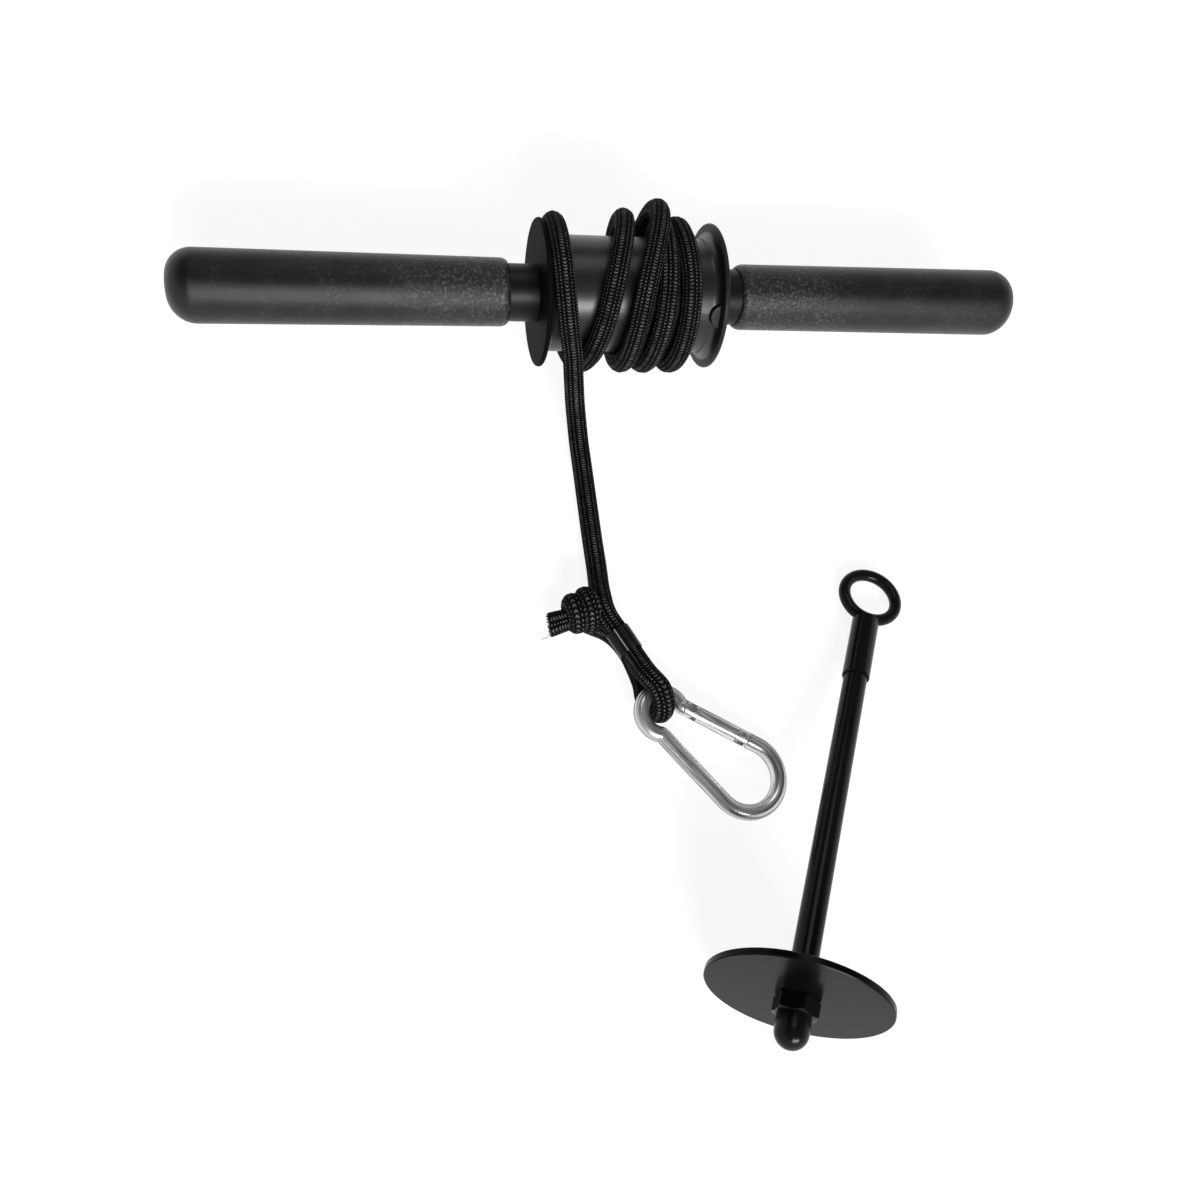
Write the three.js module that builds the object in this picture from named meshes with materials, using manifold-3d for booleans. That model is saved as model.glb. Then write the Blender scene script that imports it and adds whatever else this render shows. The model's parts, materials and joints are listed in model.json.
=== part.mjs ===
// Wrist roller: a bar with two rubber grips and a rope spool, its rope and snap hook,
// and the loading pin that carries the weight plates. Millimetres, +Z up.
// The bar lies along X, and everything rests on the plane z = 0.

import * as THREE from 'three';
import { mergeVertices } from 'three/addons/utils/BufferGeometryUtils.js';
import Module from 'manifold-3d';

const wasm = await Module();
wasm.setup();

// Fits and clearances
const seatGap = 0.3;            // between a piece and the one it is fitted to
const runGap = 0.3;             // round the hinge pin of the snap hook's gate
const cutOver = 2;              // how far a cutter runs past what it cuts
const ropeGap = 0.25;           // between the rope and what it lies on

// Sides of round pieces, and steps of round edges
const discSides = 72;
const drumSides = 56;
const gripSides = 40;
const tubeSides = 36;
const rodSides = 28;
const stubSides = 20;
const boreSides = 14;
const knotSides = 26;
const bandSides = 20;
const springWireSides = 5;
const ringSteps = 40;
const ringBarSides = 14;
const pinSides = 16;
const domeSteps = 7;
const edgeSteps = 5;
const rimSteps = 3;
const ballSteps = [20, 14];

// Bar and grips
const barLength = 428;
const tubeRadius = 13.6;
const tubeWall = 2;
const gripInnerRadius = 16.1;   // at the end beside the spool
const gripOuterRadius = 16.8;   // at the free end
const gripEndWall = 5;
const gripDomeRadius = 12.5;    // round corner of the free end
const gripShoulderLength = 4;   // rounded shoulder beside the neck
const neckLength = 14;          // bare tube between flange and grip

// Spool
const drumLength = 83.6;        // between the flanges
const drumRadius = 27.5;
const drumWall = 2.5;
const drumFillet = 3.5;         // sweep of the drum up to each flange
const flangeRadius = 35;
const flangeThickness = 2.5;
const flangeRimRadius = 1.1;

// Half-round plug let into the drum at the foot of the right flange
const plugRadius = 6;
const plugPastDrum = 1.2;       // its centre lies this far past the drum's end
const plugDepth = 1.2;
const plugHeight = 2.4;
const plugEdge = 0.7;
const plugTurn = 30.6;          // degrees above the front of the drum

// Rope
const ropeDiameter = 10;
const ropeSides = 10;
const fallSteps = 20;
const loopSteps = 40;
const tailSteps = 3;
const bandSteps = 4;
const roomFineness = 2;         // steps of the room cut for a rope, for each step of the rope
const bendStep = 15;            // degrees from point to point of the bend into the drum
const loopBendStep = 22.5;      // the same of the bend round the hook's wire
const ropeFlatShare = 0.1;      // share of the rope's diameter pressed flat under the bar
const windingSides = 6;
const windingStepsPerTurn = 24;
const ropeEndTurn = 25;         // degrees above the front, where the rope leaves the drum
const ropeHoleGap = 0.8;        // round the rope where it dives through the drum
const ropeDiveRadius = 8.5;     // bend where it dives
const knotHoleTurn = 1640;      // where the dive starts, in degrees back along the rope
const ropeStraight = 10;        // straight stretch at both ends of the winding
const stopperRadius = 6.9;
const stopperStretch = 1.2;

// Places of the turns along the drum, as shares of half its length, one row a turn:
// low at the front, front, high at the back, low at the back
const windingPlaceShares = [
  [-0.66, -0.85, -0.865, -0.68],
  [-0.52, -0.31, -0.035, 0.03],
  [-0.03, 0.05, 0.335, 0.285],
  [0.255, 0.335, 0.47, 0.565],
  [0.58, 0.615, 0.735, 0.815],
];
// How far the rope stands off the drum there, as shares of its diameter
const windingLiftShares = [
  [0, 0, 0.04, 0],
  [0, 0, 0.3, 0.1],
  [0, 0.26, 0.95, 0.28],
  [0, 0, 0, 0],
  [0, 0, 0, 0],
];
const windingStationTurns = [-30, 50, 135, 235];   // degrees, where the columns above lie

// The rope's free stretches, on the ground in front of the bar: x, y behind the bar's axis, z
const fallRoute = [
  [-28.2, -42.5, 23], [-27, -48.3, 14.4], [-26.1, -56, 8.5],
  [-25.9, -67, 5.7], [-25.9, -80, 5.1], [-26.1, -95, 5.1], [-26.3, -110, 5.1],
  [-26.4, -125, 5.1], [-26.4, -136.6, 5.2], [-27, -142.8, 7], [-27.6, -147.5, 9.1],
];
const upperLegRoute = [
  [-28.4, -156.8, 13.6], [-28.5, -161.8, 15.6], [-27.6, -166.2, 16.4],
  [-25.9, -170.2, 16.6], [-24.2, -173.4, 16.6], [-21.8, -178.4, 16.6],
  [-19.4, -183.4, 16.6], [-17.1, -189.8, 18.2], [-14.8, -196.5, 20.7],
];
const lowerLegRoute = [
  [-13, -195.5, 5.1], [-14.6, -188, 5.1], [-16.8, -180.7, 5.1], [-19.8, -174.9, 5.1],
  [-23.2, -170.4, 5.1], [-27.2, -167.2, 5.1], [-31.4, -165.2, 5.3], [-35, -163.9, 6.4],
];
const tailRoute = [[-43.8, -162.3, 8.2], [-47, -163.9, 7.3], [-50.4, -165.5, 6.5], [-53.4, -166.9, 5.8]];
const knotPlace = [-38, -160.6, 11.2];
const knotTurn = 12;            // degrees that the knot is turned on the ground
const knotWrapRadius = 4.9;     // of the rope in a wrap, pressed by its neighbours
const knotRingRadius = 6.2;     // centre line of a wrap
const knotWrapPitch = 6.2;      // between the middles of the two wraps
const knotCrease = 52;          // degrees where the wraps meet
const tailRadius = 5.4;
const bandWall = 0.5;
const bandGap = 0.15;
const bandShares = [0.202, 0.242, 0.282];   // places of its start, middle and end along the loop

// Snap hook
const hookLength = 80;
const wireRadius = 3.6;
const eyeRadius = 9.8;          // centre line of the wire round the rope's end
const bowRadius = 16;           // centre line round the wide end
const eyeArc = 120;             // degrees of arc either side of the narrow end
const waistHalf = 9.3;          // half the distance between the wires at the gate's rivet
const hingeStub = 5.6;          // straight end of the wire behind the rivet
const eyeTurn = 30;             // degrees round the eye, where the rope crosses the wire
const hookPlace = [-11.8, -203.3];
const hookYaw = -40.2;
const wireSides = 12;
const wireSteps = 64;
const wireBowPoints = 8;        // points round the bow, down the straight and round the eye
const wireStraightPoints = 4;
const wireEyePoints = 6;
const tongueThickness = 3.2;
const tongueHalfWidth = 3.15;
const hingeFromEye = 9.7;       // along the hook, from the eye's centre to the gate's rivet
const gateLength = 29.2;        // rivet to nose
const noseGap = 0.5;
const tongueReach = 4.9;        // of the nose's tongue into the gate
const latchPinRadius = 1.1;
const latchPinInset = 2.7;      // from the gate's end
const latchSlack = 0.7;         // room beside the latch pin for the gate's swing
const rivetRadius = 1.3;
const rivetHeadRadius = 2;
const rivetHeadHeight = 0.45;
const plungerRadius = 1.5;
const plungerLength = 6;
const springWireRadius = 0.25;
const springLength = 9;
const springCurls = 7;
const springCurlSteps = 8;

// Loading pin
const eyePlace = [108.8, -157.2];
const pinYaw = -116.2;
const ringRadius = 13.35;       // centre line
const ringBarRadius = 2.75;
const pinLength = 206.6;        // ring's centre to the disc's under face
const rodRadius = 5.5;
const rodEndRadius = 4.9;       // the threaded end
const sleeveRadius = 6.4;
const sleeveLength = 27;
const sleeveChamfer = 0.8;
const seatChamfer = 0.8;        // at the disc's bore, where the rod's shoulder seats
const rodInSleeve = 17;
const discRadius = 37.2;
const discThickness = 3;
const discChamfer = 0.4;
const nutFlats = 16;            // across flats
const nutHexHeight = 7;
const nutHexChamfer = 0.8;
const nutDomeRadius = 6.9;
const nutDomeLength = 13;
const nutBoreDepth = 12;

// Values that follow
const halfBar = barLength / 2;
const halfDrum = drumLength / 2;
const flangeFace = halfDrum + flangeThickness;
const ropeRadius = ropeDiameter / 2;
const coilRadius = drumRadius + ropeGap + ropeRadius;
const axisHeight = coilRadius + ropeRadius - ropeDiameter * ropeFlatShare;
const crossingHeight = ropeDiameter + seatGap + wireRadius;
const eyeToBow = hookLength - 2 * wireRadius - eyeRadius - bowRadius;
const crossingToTip = hookLength - 2 * wireRadius - eyeRadius * (1 - Math.cos(rad(eyeTurn)));
const hookPitch = Math.asin((crossingHeight - wireRadius) / crossingToTip);
const pinSeatLength = pinLength - discThickness + ringRadius;
const pinSlack = Math.asin(ringBarRadius / Math.hypot(discRadius, pinSeatLength));
const pinPitch = Math.atan2(discRadius, pinSeatLength) - pinSlack;
const eyeHeight = ringRadius * Math.sin(pinPitch) + ringBarRadius;
const nutLength = nutHexHeight + nutDomeLength;
const pinReach = (pinLength + nutLength) * Math.cos(pinPitch) * Math.sin(rad(-pinYaw)) - eyePlace[1];
const layoutY = (pinReach - flangeRadius) / 2;

// Materials
function finish(color, roughness, metalness) {
  return new THREE.MeshStandardMaterial({ color, roughness, metalness });
}
const rubber = finish(0x1c1c1d, 0.75, 0);
const satinBlack = finish(0x1f2022, 0.45, 0.2);
const glossBlack = finish(0x121214, 0.2, 0.3);
const braid = finish(0x161617, 0.85, 0);
const zinc = finish(0xc4c6c8, 0.25, 1);

// Helpers
function rad(degrees) {
  return degrees * Math.PI / 180;
}

function solidOf(geometry) {
  const bare = geometry.clone();
  bare.deleteAttribute('normal');
  bare.deleteAttribute('uv');
  const merged = mergeVertices(bare);
  return new wasm.Manifold(new wasm.Mesh({
    numProp: 3,
    vertProperties: new Float32Array(merged.attributes.position.array),
    triVerts: new Uint32Array(merged.index.array),
  }));
}

function geometryOf(solid) {
  const mesh = solid.getMesh();
  const geometry = new THREE.BufferGeometry();
  geometry.setAttribute('position', new THREE.BufferAttribute(new Float32Array(mesh.vertProperties), 3));
  geometry.setIndex(new THREE.BufferAttribute(new Uint32Array(mesh.triVerts), 1));
  return geometry;
}

// A turned piece along X from a closed outline of [x, radius] pairs
function turned(outline, segments) {
  const points = outline.map(([x, r]) => new THREE.Vector2(r, -x));
  if (THREE.ShapeUtils.isClockWise(points)) points.reverse();
  points.push(points[0].clone());
  return new THREE.LatheGeometry(points, segments).rotateZ(Math.PI / 2);
}

// Points of an arc in an outline, centre (x, r), from one angle to another in degrees
function arc(x, r, radiusX, radiusR, from, to, steps) {
  const points = [];
  for (let i = 0; i <= steps; i++) {
    const angle = rad(from + (to - from) * i / steps);
    points.push([x + radiusX * Math.cos(angle), r + radiusR * Math.sin(angle)]);
  }
  return points;
}

function rod(radius, length, segments) {
  return new THREE.CylinderGeometry(radius, radius, length, segments);
}

function roundSection(radius, sides) {
  const shape = new THREE.Shape();
  for (let i = 0; i < sides; i++) {
    const angle = 2 * Math.PI * i / sides;
    const x = radius * Math.cos(angle);
    const y = radius * Math.sin(angle);
    if (i === 0) shape.moveTo(x, y);
    else shape.lineTo(x, y);
  }
  shape.closePath();
  return shape;
}

function swept(points, radius, sides, steps) {
  const extrudePath = new THREE.CatmullRomCurve3(points);
  const settings = { steps, extrudePath, bevelEnabled: false };
  return new THREE.ExtrudeGeometry(roundSection(radius, sides), settings);
}

// One unbroken tube through the points given, with a ring of vertices at each of them
function tubeThrough(points, radius, sides, upAt) {
  const positions = [];
  const faces = [];
  const last = points.length - 1;
  points.forEach((point, i) => {
    const tangent = points[Math.min(i + 1, last)].clone().sub(points[Math.max(i - 1, 0)]).normalize();
    const up = upAt(i);
    up.addScaledVector(tangent, -up.dot(tangent)).normalize();
    const side = new THREE.Vector3().crossVectors(tangent, up);
    for (let k = 0; k < sides; k++) {
      const angle = 2 * Math.PI * k / sides;
      const corner = point.clone().addScaledVector(up, radius * Math.cos(angle));
      corner.addScaledVector(side, radius * Math.sin(angle));
      positions.push(corner.x, corner.y, corner.z);
    }
  });
  for (let i = 0; i < last; i++) {
    for (let k = 0; k < sides; k++) {
      const a = i * sides + k;
      const b = i * sides + (k + 1) % sides;
      faces.push(a, b, a + sides, b, b + sides, a + sides);
    }
  }
  for (let k = 1; k < sides - 1; k++) {
    faces.push(0, k + 1, k);
    faces.push(last * sides, last * sides + k, last * sides + k + 1);
  }
  const geometry = new THREE.BufferGeometry();
  geometry.setAttribute('position', new THREE.Float32BufferAttribute(positions, 3));
  geometry.setIndex(faces);
  return geometry;
}

function vector(triple) {
  return new THREE.Vector3(...triple);
}

function named(name, geometry, material) {
  const mesh = new THREE.Mesh(geometry, material);
  mesh.name = name;
  return mesh;
}

// Bar: one steel tube each side of the spool, and a moulded grip with a closed end on each

function handleTube() {
  const end = halfBar - gripEndWall - seatGap;
  const bore = tubeRadius - tubeWall;
  return turned([[flangeFace, bore], [end, bore], [end, tubeRadius], [flangeFace, tubeRadius]], tubeSides);
}

function grip() {
  const start = flangeFace + neckLength;
  const bore = tubeRadius + seatGap;
  const flat = gripOuterRadius - gripDomeRadius;
  return turned([
    [halfBar - gripEndWall, 0],
    [halfBar - gripEndWall, bore],
    [start, bore],
    ...arc(start + gripShoulderLength, bore, -gripShoulderLength, gripInnerRadius - bore, 0, 90, edgeSteps),
    ...arc(halfBar - gripDomeRadius, flat, gripDomeRadius, gripDomeRadius, 90, 0, domeSteps),
    [halfBar, 0],
  ], gripSides);
}

// Spool: a drum shell swept up to a pressed flange at each end

function drum() {
  const inner = drumRadius - drumWall;
  const sweepRadius = drumRadius + drumFillet;
  const shell = solidOf(turned([
    [-halfDrum, inner],
    [halfDrum, inner],
    ...arc(halfDrum - drumFillet, sweepRadius, drumFillet, -drumFillet, 0, 90, edgeSteps),
    ...arc(drumFillet - halfDrum, sweepRadius, drumFillet, -drumFillet, 90, 180, edgeSteps),
  ], drumSides));
  const ropeHole = solidOf(tubeThrough(divePoints(), ropeRadius + ropeHoleGap, ropeSides, diveUp));
  const floor = drumRadius - plugDepth - seatGap;
  const mouth = drumRadius + drumFillet + cutOver;
  const plugHole = onDrum(turned([
    [floor, 0],
    [mouth, 0],
    [mouth, plugRadius + seatGap],
    [floor, plugRadius + seatGap],
  ], rodSides));
  return geometryOf(shell.subtract(ropeHole).subtract(solidOf(plugHole)));
}

function flange() {
  const rim = flangeRimRadius;
  return turned([
    [halfDrum, 0],
    ...arc(halfDrum + rim, flangeRadius - rim, -rim, rim, 0, 90, rimSteps),
    ...arc(flangeFace - rim, flangeRadius - rim, rim, rim, 90, 0, rimSteps),
    [flangeFace, 0],
  ], drumSides);
}

// Stands a shape made along X upright on the drum at the plug's place
function onDrum(geometry) {
  geometry.rotateZ(Math.PI / 2);
  geometry.rotateX(Math.PI - rad(plugTurn));
  return geometry.translate(halfDrum + plugPastDrum, 0, 0);
}

function plug() {
  const floor = drumRadius - plugDepth;
  const top = drumRadius + plugHeight;
  const round = onDrum(turned([
    [floor, 0],
    [top, 0],
    ...arc(top - plugEdge, plugRadius - plugEdge, plugEdge, plugEdge, 0, 90, rimSteps),
    [floor, plugRadius],
  ], rodSides));
  const side = new THREE.BoxGeometry(halfDrum, flangeRadius * 2, flangeRadius * 2);
  side.translate(halfDrum / 2 - seatGap, 0, 0);
  return geometryOf(solidOf(round).intersect(solidOf(side)));
}

// Rope

// Where the rope's centre lies, from the angle wound back from the front of the drum
function windingStation(index) {
  const columns = windingStationTurns.length;
  const row = Math.floor(index / columns);
  const column = index % columns;
  return {
    turn: row * 360 + windingStationTurns[column],
    place: windingPlaceShares[row][column] * halfDrum,
    lift: windingLiftShares[row][column] * ropeDiameter,
  };
}

// A smooth run through four neighbouring stations
function blend(a, b, c, d, t) {
  const t2 = t * t;
  const t3 = t2 * t;
  return 0.5 * (2 * b + (c - a) * t + (2 * a - 5 * b + 4 * c - d) * t2 + (3 * b - a - 3 * c + d) * t3);
}

function windingPoint(turn) {
  const count = windingPlaceShares.length * windingStationTurns.length;
  let i = 0;
  while (i < count - 2 && windingStation(i + 1).turn < turn) i++;
  const s = [i - 1, i, i + 1, i + 2].map((k) => windingStation(Math.min(Math.max(k, 0), count - 1)));
  const t = (turn - s[1].turn) / (s[2].turn - s[1].turn);
  const x = blend(s[0].place, s[1].place, s[2].place, s[3].place, t);
  const lift = Math.max(blend(s[0].lift, s[1].lift, s[2].lift, s[3].lift, t), 0);
  const radius = coilRadius + lift;
  return new THREE.Vector3(x, -radius * Math.cos(rad(turn)), radius * Math.sin(rad(turn)));
}

// Points at the given distances from a point along a direction
function along(start, direction, distances) {
  return distances.map((distance) => start.clone().addScaledVector(direction, distance));
}

function outward(point) {
  return new THREE.Vector3(0, point.y, point.z).normalize();
}

// The bend from the drum's surface down through its wall, and the straight end inside
function divePoints() {
  const start = windingPoint(knotHoleTurn);
  const ahead = windingPoint(knotHoleTurn + 1).sub(start).normalize();
  const down = outward(start).negate();
  down.addScaledVector(ahead, -down.dot(ahead)).normalize();
  const points = [];
  for (let angle = 0; angle <= 90; angle += bendStep) {
    const a = rad(angle);
    points.push(start.clone().addScaledVector(ahead, ropeDiveRadius * Math.sin(a))
      .addScaledVector(down, ropeDiveRadius * (1 - Math.cos(a))));
  }
  points.push(points[points.length - 1].clone().addScaledVector(down, ropeStraight));
  return points;
}

function diveUp() {
  return new THREE.Vector3(1, 0, 0);
}

function windingPoints() {
  const points = [];
  const step = 360 / windingStepsPerTurn;
  const first = windingPoint(ropeEndTurn);
  const leaving = first.clone().sub(windingPoint(ropeEndTurn + 1)).normalize();
  points.push(first.clone().addScaledVector(leaving, ropeStraight));
  for (let turn = ropeEndTurn; turn < knotHoleTurn - step / 2; turn += step) points.push(windingPoint(turn));
  return [...points, ...divePoints()];
}

// The least gap between parts of the rope that lie apart along its length
function leastGap(points, diameter, apart) {
  let run = 0;
  const length = points.map((p, i) => {
    if (i > 0) run += p.distanceTo(points[i - 1]);
    return run;
  });
  let least = Infinity;
  for (let i = 0; i < points.length; i++) {
    for (let j = i + 1; j < points.length; j++) {
      if (length[j] - length[i] > apart) least = Math.min(least, points[i].distanceTo(points[j]) - diameter);
    }
  }
  return least;
}

function finely(points, parts) {
  const fine = [];
  for (let i = 0; i < points.length - 1; i++) {
    for (let k = 0; k < parts; k++) fine.push(points[i].clone().lerp(points[i + 1], k / parts));
  }
  return fine;
}

function winding() {
  const points = windingPoints();
  const least = leastGap(finely(points, 4), ropeDiameter, ropeDiameter * 4);
  console.log('least gap of the winding to itself, mm:', least.toFixed(2));
  const tube = solidOf(tubeThrough(points, ropeRadius, windingSides, (i) => outward(points[i])));
  const ground = new THREE.BoxGeometry(drumLength, coilRadius * 2, ropeDiameter);
  ground.translate(0, 0, -axisHeight - ropeDiameter / 2);
  return geometryOf(tube.subtract(solidOf(ground)));
}

function stopperKnot() {
  const points = windingPoints();
  const end = points[points.length - 1];
  const inwards = end.clone().sub(points[points.length - 2]).normalize();
  const knot = new THREE.SphereGeometry(stopperRadius, ...ballSteps);
  knot.scale(1, stopperStretch, 1);
  knot.applyQuaternion(new THREE.Quaternion().setFromUnitVectors(new THREE.Vector3(0, 1, 0), inwards));
  const place = end.clone().addScaledVector(inwards, seatGap + stopperRadius * stopperStretch);
  return knot.translate(place.x, place.y, place.z);
}

function fallPoints() {
  const [end, next] = windingPoints();
  const leaving = end.clone().sub(next).normalize();
  end.z += axisHeight;
  return [...along(end, leaving, [seatGap, ropeRadius, ropeDiameter]), ...fallRoute.map(vector)];
}

// Where the hook lies: its origin is the centre of the wire that the rope turns round
function hookFrame() {
  const turn = new THREE.Euler(0, hookPitch, rad(hookYaw), 'ZYX');
  const place = new THREE.Vector3(...hookPlace, crossingHeight);
  return new THREE.Matrix4().makeRotationFromEuler(turn).setPosition(place);
}

function loopPoints() {
  const [before, end] = fallPoints().slice(-2);
  const onward = end.clone().sub(before).normalize();
  const straight = along(end, onward, [seatGap, ropeRadius]);
  const bend = wireRadius + seatGap + ropeRadius;
  const turn = [];
  for (let angle = 90; angle >= -90; angle -= loopBendStep) {
    const forward = bend * Math.cos(rad(angle));
    const up = bend * Math.sin(rad(angle));
    turn.push(new THREE.Vector3(forward * Math.cos(rad(eyeTurn)), -forward * Math.sin(rad(eyeTurn)), up)
      .applyMatrix4(hookFrame()));
  }
  return [...straight, ...upperLegRoute.map(vector), ...turn, ...lowerLegRoute.map(vector)];
}

// The room that a stretch of rope takes up in the knot, a gap wider all round
function roomFor(points, radius, steps) {
  const [first, second] = points;
  const before = first.clone().add(first.clone().sub(second).setLength(seatGap));
  return solidOf(swept([before, ...points], radius + seatGap, ropeSides, steps * roomFineness));
}

// Two wraps of rope side by side, closed round the ropes that pass through them
function ropeKnot() {
  const half = knotWrapPitch / 2;
  const lump = turned([
    [-half - knotWrapRadius, 0],
    ...arc(-half, knotRingRadius, knotWrapRadius, knotWrapRadius, 180, knotCrease, domeSteps),
    ...arc(half, knotRingRadius, knotWrapRadius, knotWrapRadius, 180 - knotCrease, 0, domeSteps),
    [half + knotWrapRadius, 0],
  ], knotSides);
  lump.rotateZ(rad(knotTurn));
  lump.translate(...knotPlace);
  return geometryOf(solidOf(lump)
    .subtract(roomFor(loopPoints().reverse(), ropeRadius, loopSteps))
    .subtract(roomFor(fallPoints(), ropeRadius, fallSteps))
    .subtract(roomFor(tailRoute.map(vector), tailRadius, tailSteps)));
}

function band() {
  const loop = new THREE.CatmullRomCurve3(loopPoints());
  const ring = roundSection(ropeRadius + bandGap + bandWall, bandSides);
  ring.holes.push(roundSection(ropeRadius + bandGap, bandSides));
  const extrudePath = new THREE.CatmullRomCurve3(bandShares.map((share) => loop.getPointAt(share)));
  return new THREE.ExtrudeGeometry(ring, { steps: bandSteps, extrudePath, bevelEnabled: false });
}

// Snap hook, in its own plane: X from the eye to the bow, Y towards the gate,
// from the point of the eye that the rope turns round

function eyeCentre() {
  return new THREE.Vector2(eyeRadius * Math.cos(rad(eyeTurn)), -eyeRadius * Math.sin(rad(eyeTurn)));
}

// The gate's line runs from the waist to where it touches the bow
function gateLine() {
  const eye = eyeCentre();
  const waist = new THREE.Vector2(eye.x + hingeFromEye, eye.y + waistHalf);
  const toBow = new THREE.Vector2(eye.x + eyeToBow, eye.y).sub(waist);
  const lean = Math.asin(bowRadius / toBow.length()) + Math.atan2(toBow.y, toBow.x);
  return { hinge: waist, lean, ahead: new THREE.Vector2(Math.cos(lean), Math.sin(lean)) };
}

function flatPoint(p) {
  return new THREE.Vector3(p.x, p.y, 0);
}

// Points round an arc of the hook's wire, angles in radians
function wireArc(x, radius, from, to, count) {
  const points = [];
  for (let i = 0; i <= count; i++) {
    const angle = from + (to - from) * i / count;
    points.push(new THREE.Vector2(x + radius * Math.cos(angle), eyeCentre().y + radius * Math.sin(angle)));
  }
  return points;
}

// From the nose round the bow, along the back and round the eye
function wirePoints() {
  const eye = eyeCentre();
  const { hinge, lean, ahead } = gateLine();
  const onGate = (distance) => hinge.clone().addScaledVector(ahead, distance);
  const nose = gateLength + noseGap;
  const bowX = eye.x + eyeToBow;
  const bowTurn = Math.PI / 2 + lean;
  const bow = wireArc(bowX, bowRadius, bowTurn, -bowTurn, wireBowPoints);
  const straight = bow[0].distanceTo(hinge);
  const back = [];
  for (let i = 1; i <= wireStraightPoints; i++) {
    const point = onGate(straight * (1 - i / wireStraightPoints));
    back.push(new THREE.Vector2(point.x, 2 * eye.y - point.y));
  }
  const start = rad(eyeArc) - Math.PI;
  const round = wireArc(eye.x, eyeRadius, start, start - 2 * rad(eyeArc), wireEyePoints);
  return [onGate(nose), onGate((nose + straight) / 2), ...bow, ...back, ...round].map(flatPoint);
}

// A plate across the hook's plane that follows the gate's line, round at the hinge
function platePart(from, to, half, thickness, roundStart) {
  const shape = new THREE.Shape();
  if (roundStart) {
    shape.absarc(0, 0, half, Math.PI / 2, 3 * Math.PI / 2, false);
  } else {
    shape.moveTo(from, half);
    shape.lineTo(from, -half);
  }
  shape.lineTo(to, -half);
  shape.lineTo(to, half);
  shape.closePath();
  const settings = { depth: thickness, bevelEnabled: false, curveSegments: pinSides };
  const plate = new THREE.ExtrudeGeometry(shape, settings);
  plate.translate(0, 0, -thickness / 2);
  return plate;
}

function onGateLine(geometry) {
  const { hinge, lean } = gateLine();
  return geometry.rotateZ(lean).translate(hinge.x, hinge.y, 0);
}

function acrossPin(radius, length, distance, segments = pinSides) {
  return onGateLine(rod(radius, length, segments).rotateX(Math.PI / 2).translate(distance, 0, 0));
}

function hookBody() {
  const shoulder = wireRadius + noseGap;
  const stub = rod(wireRadius, hingeStub, stubSides).rotateZ(Math.PI / 2).translate(-hingeStub / 2, 0, 0);
  const wire = solidOf(swept(wirePoints(), wireRadius, wireSides, wireSteps))
    .add(solidOf(onGateLine(stub)))
    .subtract(solidOf(acrossPin(shoulder, wireRadius * 4, 0, rodSides)));
  const hingeRound = solidOf(acrossPin(tongueHalfWidth, tongueThickness, 0, stubSides));
  const hingeRoot = solidOf(onGateLine(platePart(-hingeStub, 0, tongueHalfWidth, tongueThickness, false)));
  const noseStart = gateLength - tongueReach;
  const noseEnd = gateLength + noseGap + cutOver;
  const nosePlate = platePart(noseStart, noseEnd, tongueHalfWidth, tongueThickness, false);
  const pinHole = solidOf(acrossPin(rivetRadius + runGap, wireRadius * 4, 0));
  const latch = gateLength - latchPinInset;
  const notchHalf = latchPinRadius + runGap + latchSlack;
  const notch = new THREE.BoxGeometry(notchHalf * 2, wireRadius * 2, wireRadius * 4);
  notch.translate(latch, latchPinRadius + runGap - wireRadius, 0);
  const nose = solidOf(onGateLine(nosePlate)).subtract(solidOf(onGateLine(notch)));
  const hinge = hingeRound.add(hingeRoot).subtract(pinHole);
  return geometryOf(wire.add(hinge).add(nose));
}

function gateSlot(from, to) {
  const slot = new THREE.BoxGeometry(to - from, wireRadius * 4, tongueThickness + runGap * 2);
  return solidOf(onGateLine(slot.translate((from + to) / 2, 0, 0)));
}

function gate() {
  const barrel = solidOf(onGateLine(rod(wireRadius, gateLength + wireRadius, stubSides).rotateZ(Math.PI / 2)
    .translate((gateLength - wireRadius) / 2, 0, 0)));
  const outline = solidOf(onGateLine(platePart(0, gateLength, wireRadius, wireRadius * 4, true)));
  const slotEnd = tongueHalfWidth + noseGap;
  const boreLength = springLength + plungerLength + runGap;
  const bore = rod(plungerRadius + runGap, boreLength, boreSides).rotateZ(Math.PI / 2);
  bore.translate(slotEnd + boreLength / 2 - runGap, 0, 0);
  return geometryOf(barrel.intersect(outline)
    .subtract(gateSlot(-wireRadius - cutOver, slotEnd))
    .subtract(gateSlot(gateLength - tongueReach - noseGap, gateLength + cutOver))
    .subtract(solidOf(acrossPin(rivetRadius + runGap, wireRadius * 4, 0)))
    .subtract(solidOf(acrossPin(latchPinRadius + seatGap, wireRadius * 4, gateLength - latchPinInset)))
    .subtract(solidOf(onGateLine(bore))));
}

function rivet() {
  const face = wireRadius + seatGap / 2;
  const head = (end) => [
    [end * face, rivetRadius],
    [end * face, rivetHeadRadius],
    [end * (face + rivetHeadHeight / 2), rivetHeadRadius],
    [end * (face + rivetHeadHeight), 0],
  ];
  return onGateLine(turned([...head(1), ...head(-1).reverse()], pinSides).rotateY(Math.PI / 2));
}

function plunger() {
  const start = tongueHalfWidth + seatGap;
  const tip = plungerRadius / 3;
  return onGateLine(turned([
    [start, 0],
    [start, plungerRadius - tip],
    [start + tip, plungerRadius],
    [start + plungerLength, plungerRadius],
    [start + plungerLength, 0],
  ], boreSides));
}

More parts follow.
